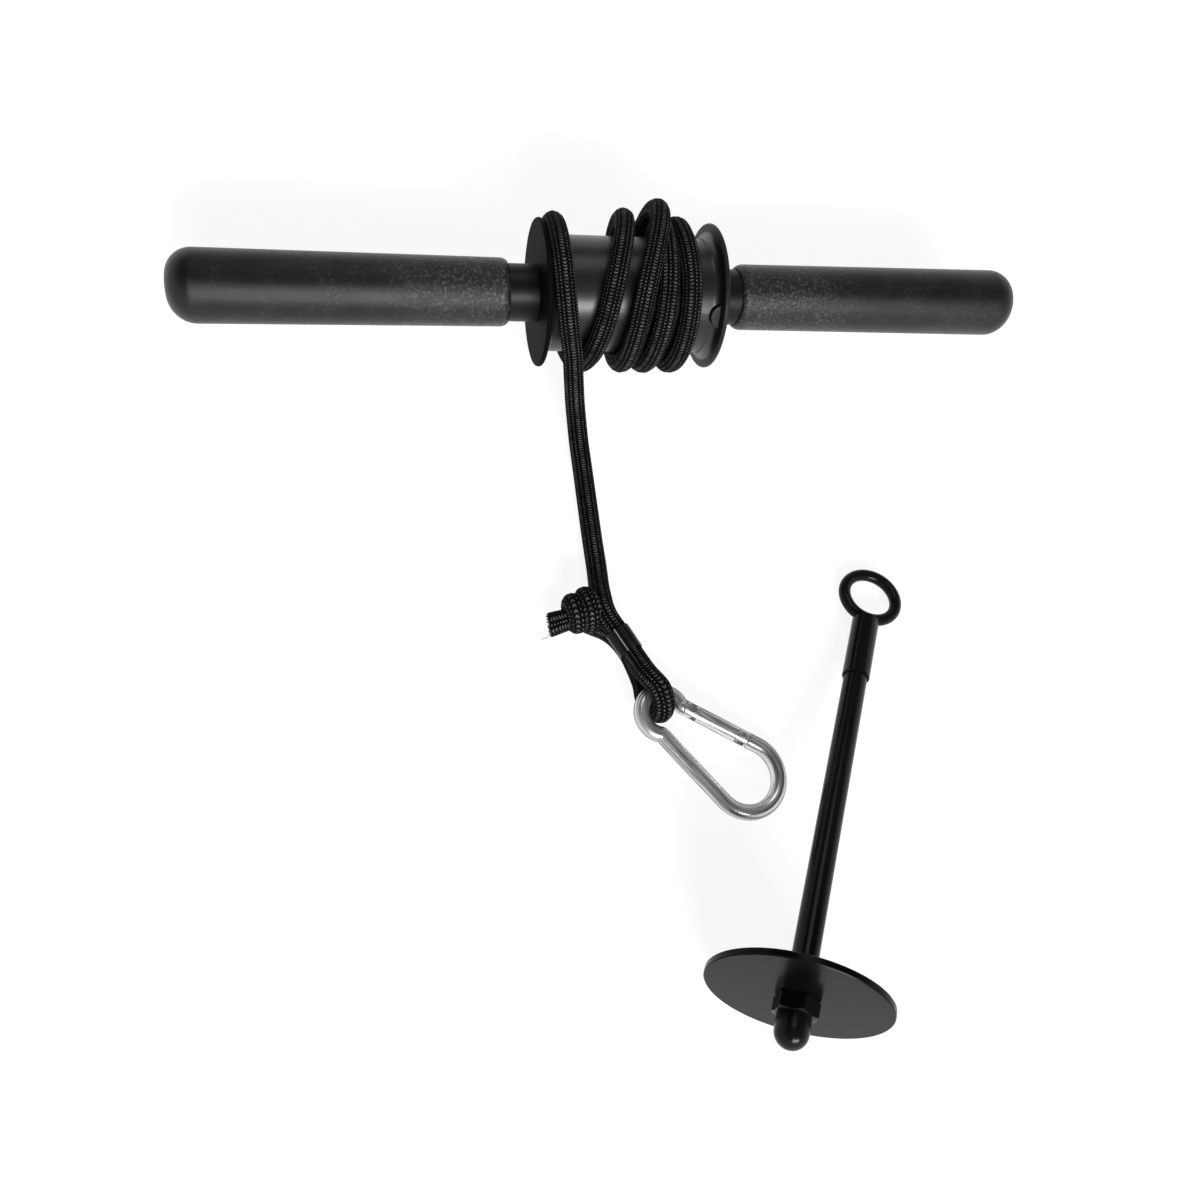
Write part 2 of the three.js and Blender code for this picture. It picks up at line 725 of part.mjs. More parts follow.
function gateSpring() {
  const start = tongueHalfWidth + seatGap + plungerLength + seatGap + springWireRadius;
  const rise = springLength - 2 * springWireRadius - 2 * seatGap;
  const coil = plungerRadius - springWireRadius;
  const count = springCurls * springCurlSteps;
  const points = [];
  for (let i = 0; i <= count; i++) {
    const angle = 2 * Math.PI * i / springCurlSteps;
    points.push(new THREE.Vector3(start + rise * i / count, coil * Math.cos(angle), coil * Math.sin(angle)));
  }
  const least = rise / springCurls - 2 * springWireRadius;
  console.log('least gap of the spring to itself, mm:', least.toFixed(2));
  return onGateLine(tubeThrough(points, springWireRadius, springWireSides, (i) => outward(points[i])));
}

// Loading pin, along X from the centre of its ring

function pinRing() {
  return new THREE.TorusGeometry(ringRadius, ringBarRadius, ringBarSides, ringSteps);
}

function pinSleeve() {
  const top = ringRadius - ringBarRadius;
  const end = top + ringBarRadius + sleeveLength;
  const bore = rodRadius + seatGap;
  const boreEnd = end - rodInSleeve;
  const body = solidOf(turned([
    [top, 0],
    [top, sleeveRadius],
    [end - sleeveChamfer, sleeveRadius],
    [end, sleeveRadius - sleeveChamfer / 2],
    [end, bore],
    [boreEnd, bore],
    [boreEnd, 0],
  ], rodSides));
  const room = ringBarRadius + seatGap;
  const saddle = solidOf(new THREE.TorusGeometry(ringRadius, room, ringBarSides, ringSteps));
  const hole = solidOf(rod(ringRadius, sleeveRadius * 4, ringSteps).rotateX(Math.PI / 2));
  return geometryOf(body.subtract(hole).subtract(saddle));
}

function pinRod() {
  const start = ringRadius + sleeveLength - rodInSleeve + seatGap;
  const shoulder = pinLength - discThickness;
  const end = pinLength + nutBoreDepth - seatGap;
  return turned([
    [start, 0],
    [start, rodRadius],
    [shoulder, rodRadius],
    [shoulder + rodRadius - rodEndRadius, rodEndRadius],
    [end - sleeveChamfer, rodEndRadius],
    [end, rodEndRadius - sleeveChamfer],
    [end, 0],
  ], rodSides);
}

function disc() {
  const bore = rodEndRadius + seatGap;
  const near = pinLength;
  const far = pinLength - discThickness;
  return turned([
    [far + seatChamfer, bore],
    [near, bore],
    [near, discRadius - discChamfer],
    [near - discChamfer, discRadius],
    [far + discChamfer, discRadius],
    [far, discRadius - discChamfer],
    [far, bore + seatChamfer],
  ], discSides);
}

function domeNut() {
  const corner = nutFlats / 2 / Math.cos(Math.PI / 6);
  const bore = rodEndRadius + seatGap;
  const start = pinLength;
  const hexEnd = start + nutHexHeight;
  const blank = rod(corner, nutHexHeight, 6).rotateZ(Math.PI / 2);
  const hex = solidOf(blank.translate((start + hexEnd) / 2, 0, 0));
  const chamfered = solidOf(turned([
    [start, 0],
    [start, nutFlats / 2],
    [start + nutHexChamfer, corner],
    [hexEnd - nutHexChamfer, corner],
    [hexEnd, nutFlats / 2],
    [hexEnd, 0],
  ], gripSides));
  const domeStart = start + nutLength - nutDomeRadius;
  const dome = solidOf(turned([
    [hexEnd - nutHexChamfer, 0],
    [hexEnd - nutHexChamfer, nutDomeRadius],
    ...arc(domeStart, 0, nutDomeRadius, nutDomeRadius, 90, 0, domeSteps),
  ], rodSides));
  const hole = solidOf(turned([
    [start - cutOver, 0],
    [start - cutOver, bore],
    [start + nutBoreDepth, bore],
    [start + nutBoreDepth, 0],
  ], stubSides));
  return geometryOf(hex.intersect(chamfered).add(dome).subtract(hole));
}

// Assembly

const layout = new THREE.Group();
layout.position.set(0, layoutY, 0);

const bar = new THREE.Group();
bar.position.z = axisHeight;
bar.add(named('spool_drum', drum(), satinBlack));
bar.add(named('drum_plug', plug(), satinBlack));
bar.add(named('rope_winding', winding(), braid));
bar.add(named('stopper_knot', stopperKnot(), braid));
for (const side of ['left', 'right']) {
  const turn = side === 'left' ? Math.PI : 0;
  bar.add(named(`${side}_handle_tube`, handleTube().rotateZ(turn), satinBlack));
  bar.add(named(`${side}_grip`, grip().rotateZ(turn), rubber));
  bar.add(named(`${side}_flange`, flange().rotateZ(turn), satinBlack));
}
layout.add(bar);

layout.add(named('rope_fall', swept(fallPoints(), ropeRadius, ropeSides, fallSteps), braid));
layout.add(named('rope_loop', swept(loopPoints(), ropeRadius, ropeSides, loopSteps), braid));
layout.add(named('rope_tail', swept(tailRoute.map(vector), tailRadius, ropeSides, tailSteps), braid));
layout.add(named('loop_band', band(), glossBlack));
layout.add(named('rope_knot', ropeKnot(), braid));

const hook = new THREE.Group();
hook.applyMatrix4(hookFrame());
hook.add(named('hook_body', hookBody(), zinc));
hook.add(named('hook_gate', gate(), zinc));
hook.add(named('gate_rivet', rivet(), zinc));
hook.add(named('latch_pin', acrossPin(latchPinRadius, wireRadius * 2, gateLength - latchPinInset), zinc));
hook.add(named('gate_plunger', plunger(), zinc));
hook.add(named('gate_spring', gateSpring(), zinc));
layout.add(hook);

const pin = new THREE.Group();
pin.position.set(...eyePlace, eyeHeight);
pin.rotation.set(0, -pinPitch, rad(pinYaw), 'ZYX');
pin.add(named('pin_ring', pinRing(), glossBlack));
pin.add(named('pin_sleeve', pinSleeve(), glossBlack));
pin.add(named('pin_rod', pinRod(), glossBlack));
pin.add(named('weight_disc', disc(), satinBlack));
pin.add(named('dome_nut', domeNut(), glossBlack));
layout.add(pin);

const wristRoller = new THREE.Group();
wristRoller.add(layout);

export default wristRoller;
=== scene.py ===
import json
import math
import random

import bmesh
import bpy
from mathutils import Matrix, Vector


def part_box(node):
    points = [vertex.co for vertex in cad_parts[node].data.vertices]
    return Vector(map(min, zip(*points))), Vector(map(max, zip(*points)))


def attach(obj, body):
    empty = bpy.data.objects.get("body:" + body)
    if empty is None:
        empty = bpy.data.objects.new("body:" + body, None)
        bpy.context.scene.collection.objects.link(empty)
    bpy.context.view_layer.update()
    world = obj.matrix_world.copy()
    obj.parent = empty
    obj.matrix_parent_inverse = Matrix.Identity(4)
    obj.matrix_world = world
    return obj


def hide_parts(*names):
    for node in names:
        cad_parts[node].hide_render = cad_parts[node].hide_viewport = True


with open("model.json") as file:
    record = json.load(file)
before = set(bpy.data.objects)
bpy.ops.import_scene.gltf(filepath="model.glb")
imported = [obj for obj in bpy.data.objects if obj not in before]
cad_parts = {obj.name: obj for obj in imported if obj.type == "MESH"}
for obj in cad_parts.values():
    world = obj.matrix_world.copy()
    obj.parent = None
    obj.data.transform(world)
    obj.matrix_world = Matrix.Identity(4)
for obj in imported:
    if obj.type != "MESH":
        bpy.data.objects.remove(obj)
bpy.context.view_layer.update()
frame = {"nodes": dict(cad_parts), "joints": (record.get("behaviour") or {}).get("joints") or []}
random.seed(7)

mm = 0.001
weldDistance = 0.005 * mm


def middle(node):
    low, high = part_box(node)
    return (Vector(low) + Vector(high)) / 2


def jointOf(name):
    return next(j for j in frame["joints"] if j["name"] == name)


drumMiddle = middle("spool_drum")
axisY, axisZ = drumMiddle.y, drumMiddle.z
halfDrum = (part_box("spool_drum")[1][0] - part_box("spool_drum")[0][0]) / 2


# camera, worked out from the photograph: place and turns relative to the drum's foot
cameraSet = {
    "place": Vector((-0.144356, -0.368745, 0.465192)),
    "right": Vector((0.9706, -0.1406, 0.1954)),
    "up": Vector((0.0501, 0.9119, 0.4074)),
    "lens": 33.64,
    "sensor": 36,
    "shift": (-0.01157, 0.02842),
}


def makeCamera():
    data = bpy.data.cameras.new("camera")
    data.lens = cameraSet["lens"]
    data.sensor_width = cameraSet["sensor"]
    data.shift_x, data.shift_y = cameraSet["shift"]
    right = cameraSet["right"].normalized()
    back = right.cross(cameraSet["up"]).normalized()
    up = back.cross(right)
    turn = Matrix((right, up, back)).transposed().to_4x4()
    obj = bpy.data.objects.new("camera", data)
    obj.matrix_world = Matrix.Translation(cameraSet["place"] + Vector((0, axisY, 0))) @ turn
    bpy.context.collection.objects.link(obj)
    bpy.context.scene.camera = obj


makeCamera()
print("camera done")


# shader maths

class Val:                                          # a socket that takes part in sums
    def __init__(self, mat, out):
        self.mat, self.out = mat, out

    def math(self, op, *others):
        inputs = {i: v for i, v in enumerate((self, *others))}
        return self.mat.add("ShaderNodeMath", {"operation": op}, inputs)

    def __add__(self, other):
        return self.math("ADD", other)

    def __radd__(self, other):
        return self.math("ADD", other)

    def __sub__(self, other):
        return self.math("SUBTRACT", other)

    def __rsub__(self, other):
        return self.mat.value(other).math("SUBTRACT", self)

    def __mul__(self, other):
        return self.math("MULTIPLY", other)

    def __pow__(self, other):
        return self.math("POWER", other)

    def wave(self):                                 # sine
        return self.math("SINE")

    def size(self):
        return self.math("ABSOLUTE")

    def between(self, low, high):                   # 0 below low, 1 above high, smooth
        settings = {"interpolation_type": "SMOOTHSTEP"}
        inputs = {"Value": self, "From Min": low, "From Max": high}
        return self.mat.add("ShaderNodeMapRange", settings, inputs)


class Mat:
    def __init__(self, name, color=(0.5, 0.5, 0.5), roughness=0.5, metallic=0.0):
        self.data = bpy.data.materials.new(name)
        self.data.use_nodes = True
        self.nodes = self.data.node_tree.nodes
        self.links = self.data.node_tree.links
        self.shader = self.nodes["Principled BSDF"]
        self.set("Base Color", (*color, 1))
        self.set("Roughness", roughness)
        self.set("Metallic", metallic)

    def set(self, socket, source):
        if isinstance(source, Val):
            self.links.new(source.out, self.shader.inputs[socket])
        else:
            self.shader.inputs[socket].default_value = source

    def add(self, kind, settings=None, inputs=None, out=0):
        node = self.nodes.new(kind)
        for key, setting in (settings or {}).items():
            setattr(node, key, setting)
        for key, source in (inputs or {}).items():
            if isinstance(source, Val):
                self.links.new(source.out, node.inputs[key])
            else:
                node.inputs[key].default_value = source
        return Val(self, node.outputs[out])

    def value(self, amount):
        node = self.nodes.new("ShaderNodeValue")
        node.outputs[0].default_value = amount
        return Val(self, node.outputs[0])

    def place(self):                                # object coordinates, metres
        return self.add("ShaderNodeTexCoord", out="Object")

    def parts(self, vector):
        node = self.add("ShaderNodeSeparateXYZ", inputs={0: vector}).out.node
        return [Val(self, node.outputs[i]) for i in range(3)]

    def unwrapped(self):                            # metres round the piece and along it
        vector = self.add("ShaderNodeUVMap", {"uv_map": "wrap"})
        return self.parts(vector)[:2]

    def noise(self, scale, detail=2.0, rough=0.5, vector=None):
        inputs = {"Vector": vector or self.place(), "Scale": scale, "Detail": detail, "Roughness": rough}
        return self.add("ShaderNodeTexNoise", inputs=inputs)

    def blend(self, factor, low, high):             # colour between two colours
        inputs = {0: factor, 6: (*low, 1), 7: (*high, 1)}
        return self.add("ShaderNodeMix", {"data_type": "RGBA"}, inputs, out=2)

    def join(self, x, y, z):
        return self.add("ShaderNodeCombineXYZ", inputs={0: x, 1: y, 2: z})

    def bump(self, height, depth, strength=1.0):    # height 0 to 1, depth in metres
        inputs = {"Height": height, "Distance": depth, "Strength": strength}
        self.set("Normal", self.add("ShaderNodeBump", inputs=inputs))


# finish of the grips: fine diamond pebbles, plain near the closed end, rubbed towards the flange

gripFinish = {
    "pebble": 1.15 * mm,
    "depth": 0.1 * mm,
    "plainEnd": 9 * mm,                             # all from the closed end
    "fade": 3 * mm,                                 # from plain to pebbles
    "worn": (70 * mm, 140 * mm),                    # more and more rubbed
}


def gripRubber():
    mat = Mat("gripRubber")
    mat.set("Specular IOR Level", 0.34)
    around, along = mat.unwrapped()
    drift = mat.noise(260, 3) - 0.5
    turns = math.pi / gripFinish["pebble"]
    first = ((around + along) * turns + drift * 1.6).wave()
    second = ((around - along) * turns - drift * 1.6).wave()
    pebbles = (first * second).size() ** 0.6
    inside = along.between(gripFinish["plainEnd"], gripFinish["plainEnd"] + gripFinish["fade"])
    patches = mat.noise(46, 4, 0.65)
    grain = mat.noise(620, 4, 0.75)
    specks = grain.between(0.5, 0.64)
    rubbed = along.between(*gripFinish["worn"]) * 0.6 + patches.between(0.35, 0.75) * 0.4
    relief = pebbles * (0.35 + patches * 0.5) + grain * (1 + rubbed * 2.5)
    mat.bump(relief * inside, gripFinish["depth"])
    worn = rubbed * inside * (0.1 + pebbles * 0.1 + specks)
    mat.set("Base Color", mat.blend(worn, (0.005, 0.005, 0.0052), (0.09, 0.09, 0.092)))
    mat.set("Roughness", 0.35 - worn * 0.21 + patches * 0.04)
    return mat.data


def satinBlack(name, roughness, shade, shine):
    mat = Mat(name)
    mat.set("Specular IOR Level", shine)
    cloud = mat.noise(24, 4, 0.6)
    peel = mat.noise(900, 2)
    mat.bump(peel, 0.02 * mm, 0.5)
    mat.set("Base Color", mat.blend(cloud, (shade * 0.8,) * 3, (shade * 1.35,) * 3))
    mat.set("Roughness", cloud * 0.12 + peel * 0.05 + (roughness - 0.08))
    return mat.data


# braid of the rope: broad rows of slanting stitches with a narrow row between them

braid = {
    "round": 10 * math.pi * mm,                     # once round the rope in the unwrapping
    "rows": 6,
    "broad": 0.62,                                  # share of a repeat that the broad row fills
    "narrow": (0.67, 0.95),
    "stitch": 1.4 * mm,
    # dark: painted shade in the grooves; light: painted highlight on the stitch tops, partly real rubbing
    "dark": (0.0015, 0.0015, 0.0016),
    "light": (0.17, 0.17, 0.173),
}


def braidedRope():
    mat = Mat("braidedRope")
    mat.set("Specular IOR Level", 0.07)
    around, along = mat.unwrapped()
    inside = (around * (braid["rows"] / braid["round"])).math("FRACT")
    left, right = braid["narrow"]
    broad = inside * (1 / braid["broad"])
    narrow = (inside - left) * (1 / (right - left))
    inNarrow = inside.math("GREATER_THAN", (braid["broad"] + left) / 2)
    slant = (broad - 0.5).size() * 1.1
    drift = mat.noise(90, 2) * 0.9
    broadStitch = ((along * (1 / braid["stitch"]) + slant + drift) * math.pi).wave().size()
    narrowStitch = ((along * (1 / braid["stitch"]) + drift) * math.pi).wave().size()
    broadRow = (broad.math("MINIMUM", 1.0) * math.pi).wave().math("MAXIMUM", 0.0) ** 0.5
    narrow = narrow.math("MAXIMUM", 0.0).math("MINIMUM", 1.0)
    narrowRow = (narrow * math.pi).wave().math("MAXIMUM", 0.0) ** 0.7
    height = broadRow * broadStitch * (1 - inNarrow) + narrowRow * narrowStitch * inNarrow
    fibres = mat.noise(5200, 2)
    raised = Val(mat, mat.nodes.new("ShaderNodeAttribute").outputs["Fac"])
    raised.out.node.attribute_name = "raised"
    rubbed = mat.noise(120, 3, 0.6).between(0.25, 0.75)
    spots = 0.4 + mat.noise(600, 3, 0.7).between(0.35, 0.65)
    # painted highlight on the stitch tops and painted shade in the grooves between them, with real rubbing
    # in patches
    wornAndSheenTops = height.between(0.55, 0.95) * (0.35 + rubbed * 0.65) * raised.between(0.2, 0.8) * spots
    mat.bump(height + fibres * 0.15, 0.3 * mm, 0.8)
    mat.set("Base Color", mat.blend(wornAndSheenTops * (0.6 + fibres * 0.6), braid["dark"], braid["light"]))
    mat.set("Roughness", 0.8 - wornAndSheenTops * 0.42 + fibres * 0.08)
    return mat.data


def zincPlate():
    mat = Mat("brightZinc", metallic=1.0)
    marks = mat.noise(160, 4, 0.6)
    fine = mat.noise(1800, 2)
    mat.bump(marks, 0.05 * mm, 0.12)
    dull, bright = (0.46, 0.465, 0.475), (0.60, 0.605, 0.615)
    mat.set("Base Color", mat.blend(marks.between(0.3, 0.7), dull, bright))
    mat.set("Roughness", 0.24 + marks * 0.12 + fine * 0.05)
    return mat.data


def glossBlack():
    mat = Mat("glossBlack")
    mat.set("Specular IOR Level", 0.14)
    cloud = mat.noise(40, 3)
    peel = mat.noise(700, 2)
    mat.bump(peel, 0.015 * mm, 0.35)
    mat.set("Base Color", mat.blend(cloud, (0.004, 0.004, 0.0045), (0.008, 0.008, 0.0085)))
    mat.set("Roughness", 0.12 + cloud * 0.12 + peel * 0.04)
    return mat.data


def bandFilm():
    mat = Mat("bandFilm")
    mat.set("Specular IOR Level", 0.12)
    creases = mat.noise(340, 3, 0.6)
    mat.bump(creases, 0.12 * mm, 0.5)
    mat.set("Base Color", mat.blend(creases, (0.003, 0.003, 0.0033), (0.008, 0.008, 0.0085)))
    mat.set("Roughness", 0.1 + creases * 0.15)
    return mat.data


gripMat = gripRubber()
satinMat = satinBlack("satinBlack", 0.33, 0.009, 0.5)           # roughness, shade, shine
# darker, duller copy of the satin paint for the left flange only: painted shade for its face turned from
# the key lamp
shadedFlangeMat = satinBlack("flangeBlackShaded", 0.5, 0.005, 0.01)
plugMat = satinBlack("plugBlack", 0.45, 0.012, 0.22)
tubeMat = satinBlack("tubeBlack", 0.42, 0.003, 0.22)
discMat = satinBlack("discBlack", 0.24, 0.003, 0.065)
ropeMat = braidedRope()
zincMat = zincPlate()
glossMat = glossBlack()
bandMat = bandFilm()
# pale grey strip painted on the band as a highlight
highlightStripMat = Mat("bandPaintedHighlight", color=(0.3, 0.3, 0.31), roughness=0.4).data
print("materials done")


# piece helpers

def addPiece(name, bm, mat, sharp=35, body="roller", nodes=()):
    data = bpy.data.meshes.new(name)
    bm.to_mesh(data)
    bm.free()
    data.materials.append(mat)
    data.shade_smooth()
    data.set_sharp_from_angle(angle=math.radians(sharp))
    obj = bpy.data.objects.new(name, data)
    bpy.context.collection.objects.link(obj)
    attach(obj, body)
    if nodes:
        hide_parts(*nodes)
    return obj


def arc(x, r, sizeX, sizeR, start, end, steps):     # points of an arc in a turned outline
    points = []
    for i in range(steps + 1):
        angle = math.radians(start + (end - start) * i / steps)
        points.append((x + sizeX * math.cos(angle), r + sizeR * math.sin(angle)))
    return points


def spun(outline, steps):                           # turned about X from (x, radius) pairs
    bm = bmesh.new()
    verts = [bm.verts.new((x, 0, r)) for x, r in outline]
    edges = [bm.edges.new(pair) for pair in zip(verts, verts[1:])]
    bmesh.ops.spin(bm, geom=verts + edges, cent=(0, 0, 0), axis=(1, 0, 0), angle=math.tau, steps=steps,
                   use_merge=True)
    bmesh.ops.remove_doubles(bm, verts=bm.verts, dist=1e-7)
    bmesh.ops.dissolve_degenerate(bm, edges=bm.edges, dist=1e-7)
    bmesh.ops.recalc_face_normals(bm, faces=bm.faces)
    return bm


def wrapSpun(bm, radius, start, sign):              # unwraps a turned piece, in metres
    layer = bm.loops.layers.uv.new("wrap")
    for face in bm.faces:
        mid = face.calc_center_median()
        base = math.atan2(mid.z, mid.y)
        for loop in face.loops:
            co = loop.vert.co
            angle = math.atan2(co.z, co.y) if math.hypot(co.y, co.z) > 1e-6 else base
            while angle - base > math.pi:
                angle -= math.tau
            while angle - base < -math.pi:
                angle += math.tau
            loop[layer].uv = (angle * radius, (co.x - start) * sign)


def capEnds(bm, rings):
    bm.faces.new(list(reversed(rings[0])))
    bm.faces.new(rings[-1])


def facesBetween(bm, ring, following):              # one row of faces, from a ring to the next
    faces = []
    for k in range(len(ring)):
        n = (k + 1) % len(ring)
        faces.append(bm.faces.new((ring[k], ring[n], following[n], following[k])))
    return faces


def skinRings(bm, rings, layer, around):            # rings with their places along, unwrapped in metres
    for (ring, low), (following, high) in zip(rings, rings[1:]):
        for k, face in enumerate(facesBetween(bm, ring, following)):
            for loop, turn, place in zip(face.loops, (k, k + 1, k + 1, k), (low, low, high, high)):
                loop[layer].uv = (turn / len(ring) * around, place)


def finishNode(node, mat, sharp=30):                # a CAD node that stays, with its finish
    obj = frame["nodes"][node]
    obj.data.materials.clear()
    obj.data.materials.append(mat)
    obj.data.shade_smooth()
    weld = obj.modifiers.new("weld", "WELD")
    weld.merge_threshold = weldDistance
    split = obj.modifiers.new("split", "EDGE_SPLIT")
    split.split_angle = math.radians(sharp)
    weigh = obj.modifiers.new("weigh", "WEIGHTED_NORMAL")
    weigh.keep_sharp = True


# rope: one run from the knot inside the drum, round the drum, over the floor, round the hook

rope = {
    "diameter": 10 * mm,
    "drumRadius": 27.5 * mm,
    "gap": 0.25 * mm,
    "exitTurn": 25,                                 # degrees above the front, where it leaves the drum
    "holeTurn": 1640,
    "turnStep": 15,
    "diveRadius": 8.5 * mm,
    "straight": 10 * mm,
    "stationTurns": (-30, 50, 135, 235),
    "placeShares": (
        (-0.66, -0.85, -0.865, -0.68),
        (-0.52, -0.31, -0.035, 0.03),
        (-0.03, 0.05, 0.335, 0.285),
        (0.255, 0.335, 0.47, 0.565),
        (0.58, 0.615, 0.735, 0.815),
    ),
    "liftShares": (
        (0, 0, 0.04, 0),
        (0, 0, 0.3, 0.1),
        (0, 0.26, 0.95, 0.28),
        (0, 0, 0, 0),
        (0, 0, 0, 0),
    ),
    "fall": (
        (-28.2, -42.5, 23), (-27, -48.3, 14.4), (-26.1, -56, 8.5),
        (-25.9, -67, 5.7), (-25.9, -80, 5.1), (-26.1, -95, 5.1), (-26.3, -110, 5.1),
        (-26.4, -125, 5.1), (-26.4, -136.6, 5.2), (-27, -142.8, 7), (-27.6, -147.5, 9.1),
    ),
    "upperLeg": (
        (-28.4, -156.8, 13.6), (-28.5, -161.8, 15.6), (-27.6, -166.2, 16.4),
        (-25.9, -170.2, 16.6), (-24.2, -173.4, 16.6), (-21.8, -178.4, 16.6),
        (-19.4, -183.4, 16.6), (-17.1, -189.8, 18.2), (-14.8, -196.5, 20.7),
    ),
    "lowerLeg": (
        (-13, -195.5, 5.1), (-14.6, -188, 5.1), (-16.8, -180.7, 5.1), (-19.8, -174.9, 5.1),
        (-23.2, -170.4, 5.1), (-27.2, -167.2, 5.1), (-31.4, -165.2, 5.3), (-35, -163.9, 6.4),
    ),
    "pressed": {                                    # shares by which soft turns give way at the back
        (2, 2): (0.035, -0.16),
        (3, 2): (-0.05, 0),
        (4, 2): (-0.125, 0),
    },
    "relief": 0.26 * mm,
    "lowest": 0.1 * mm,                             # above the floor
    "sides": 60,
    "ring": 0.9 * mm,                               # between rings of the mesh
}
coilRadius = rope["drumRadius"] + rope["gap"] + rope["diameter"] / 2


def station(index):
    columns = len(rope["stationTurns"])
    row, column = divmod(index, columns)
    give, sink = rope["pressed"].get((row, column), (0, 0))
    return (
        row * 360 + rope["stationTurns"][column],
        (rope["placeShares"][row][column] + give) * halfDrum,
        (rope["liftShares"][row][column] + sink) * rope["diameter"],
    )


def blendFour(a, b, c, d, t):                       # smooth run through neighbours
    return 0.5 * (2 * b + (c - a) * t + (2 * a - 5 * b + 4 * c - d) * t * t
                  + (3 * b - a - 3 * c + d) * t * t * t)


def windingPoint(turn):
    count = len(rope["placeShares"]) * len(rope["stationTurns"])
    i = 0
    while i < count - 2 and station(i + 1)[0] < turn:
        i += 1
    near = [station(min(max(k, 0), count - 1)) for k in (i - 1, i, i + 1, i + 2)]
    t = (turn - near[1][0]) / (near[2][0] - near[1][0])
    x = blendFour(*(s[1] for s in near), t)
    radius = coilRadius + max(blendFour(*(s[2] for s in near), t), 0)
    angle = math.radians(turn)
    return Vector((x, axisY - radius * math.cos(angle), axisZ + radius * math.sin(angle)))


def onFloor(points):                                # from millimetres before the drum's foot
    return [Vector((x * mm, axisY + y * mm, z * mm)) for x, y, z in points]


def divePoints():
    start = windingPoint(rope["holeTurn"])
    ahead = (windingPoint(rope["holeTurn"] + 1) - start).normalized()
    down = Vector((0, axisY - start.y, axisZ - start.z)).normalized()
    down = (down - ahead * down.dot(ahead)).normalized()
    points = []
    for angle in range(0, 91, rope["turnStep"]):
        a = math.radians(angle)
        points.append(start + (ahead * math.sin(a) + down * (1 - math.cos(a))) * rope["diveRadius"])
    points.append(points[-1] + down * rope["straight"])
    return points


# hook's own frame, from its joints: origin in the wire that the rope turns round
hook = {
    "length": 80 * mm,
    "wire": 3.6 * mm,
    "eyeRadius": 9.8 * mm,
    "bowRadius": 16 * mm,
    "eyeArc": 120,
    "eyeTurn": 30,
    "waistHalf": 9.3 * mm,
    "hingeFromEye": 9.7 * mm,
    "gateLength": 29.2 * mm,
    "noseGap": 0.5 * mm,
    "stub": 5.6 * mm,
    "tongueThickness": 3.2 * mm,
    "tongueHalf": 3.15 * mm,
    "tongueReach": 4.9 * mm,
    "gap": 0.3 * mm,                                # under the rope
    "running": 0.3 * mm,                            # round the rivet and beside the tongues
    "latchInset": 2.7 * mm,
    "latchRadius": 1.1 * mm,
    "latchSlack": 0.7 * mm,
    "loopSteps": 8,
    "eyeSteps": 22,
    "bowSteps": 30,
    "backSteps": 6,
    "cheekSteps": 24,
    "hingeSteps": 18,
    "sides": 48,
    "ring": 0.8 * mm,
    "edge": 0.25 * mm,
}


def hookFrame():
    up = -Vector(jointOf("gate_hinge")["axis"]).normalized()
    across = -Vector(jointOf("hook_swing")["axis"]).normalized()
    along = Matrix.Rotation(math.radians(hook["eyeTurn"] - 90), 3, up) @ across
    along = (along - up * along.dot(up)).normalized()
    turn = Matrix((along, up.cross(along), up)).transposed().to_4x4()
    return Matrix.Translation(Vector(jointOf("hook_swing")["pos_m"])) @ turn


hookPlace = hookFrame()


def loopTurn():                                     # the rope's half turn round the wire
    bend = hook["wire"] + hook["gap"] + rope["diameter"] / 2
    aim = math.radians(hook["eyeTurn"])
    points = []
    for i in range(hook["loopSteps"] + 1):
        angle = math.radians(90 - 180 * i / hook["loopSteps"])
        forward, up = bend * math.cos(angle), bend * math.sin(angle)
        points.append(hookPlace @ Vector((forward * math.cos(aim), -forward * math.sin(aim), up)))
    return points


def ropeRoute():
    points = list(reversed(divePoints()))
    turn = rope["holeTurn"] - rope["turnStep"]
    while turn > rope["exitTurn"] - 1:
        points.append(windingPoint(turn))
        turn -= rope["turnStep"]
    end = windingPoint(rope["exitTurn"])
    leaving = (end - windingPoint(rope["exitTurn"] + 1)).normalized()
    points[-1] = end
    points += [end + leaving * rope["straight"] * share for share in (1, 1.5)]
    points += onFloor(rope["fall"]) + onFloor(rope["upperLeg"])
    return points + loopTurn() + onFloor(rope["lowerLeg"])


def smoothRoute(points, spacing):                   # centripetal curve, evenly resampled
    ghosts = [points[0] * 2 - points[1], *points, points[-1] * 2 - points[-2]]
    fine = []
    for a, b, c, d in zip(ghosts, ghosts[1:], ghosts[2:], ghosts[3:]):
        ta, tb = 0.0, math.sqrt((b - a).length)
        tc = tb + math.sqrt((c - b).length)
        td = tc + math.sqrt((d - c).length)
        count = max(4, int((c - b).length / spacing * 2))
        for i in range(count):
            t = tb + (tc - tb) * i / count
            ab = a * ((tb - t) / tb) + b * (t / tb)
            bc = b * ((tc - t) / (tc - tb)) + c * ((t - tb) / (tc - tb))
            cd = c * ((td - t) / (td - tc)) + d * ((t - tc) / (td - tc))
            abc = ab * ((tc - t) / tc) + bc * (t / tc)
            bcd = bc * ((td - t) / (td - tb)) + cd * ((t - tb) / (td - tb))
            fine.append(abc * ((tc - t) / (tc - tb)) + bcd * ((t - tb) / (tc - tb)))
    fine.append(points[-1])
    total = sum((q - p).length for p, q in zip(fine, fine[1:]))
    count = round(total / spacing)
    even, along, k = [fine[0]], 0.0, 0
    for i in range(1, count):
        target = total * i / count
        while along + (fine[k + 1] - fine[k]).length < target:
            along += (fine[k + 1] - fine[k]).length
            k += 1
        step = (fine[k + 1] - fine[k]).length
        even.append(fine[k].lerp(fine[k + 1], (target - along) / step))
    even.append(fine[-1])
    return even, total


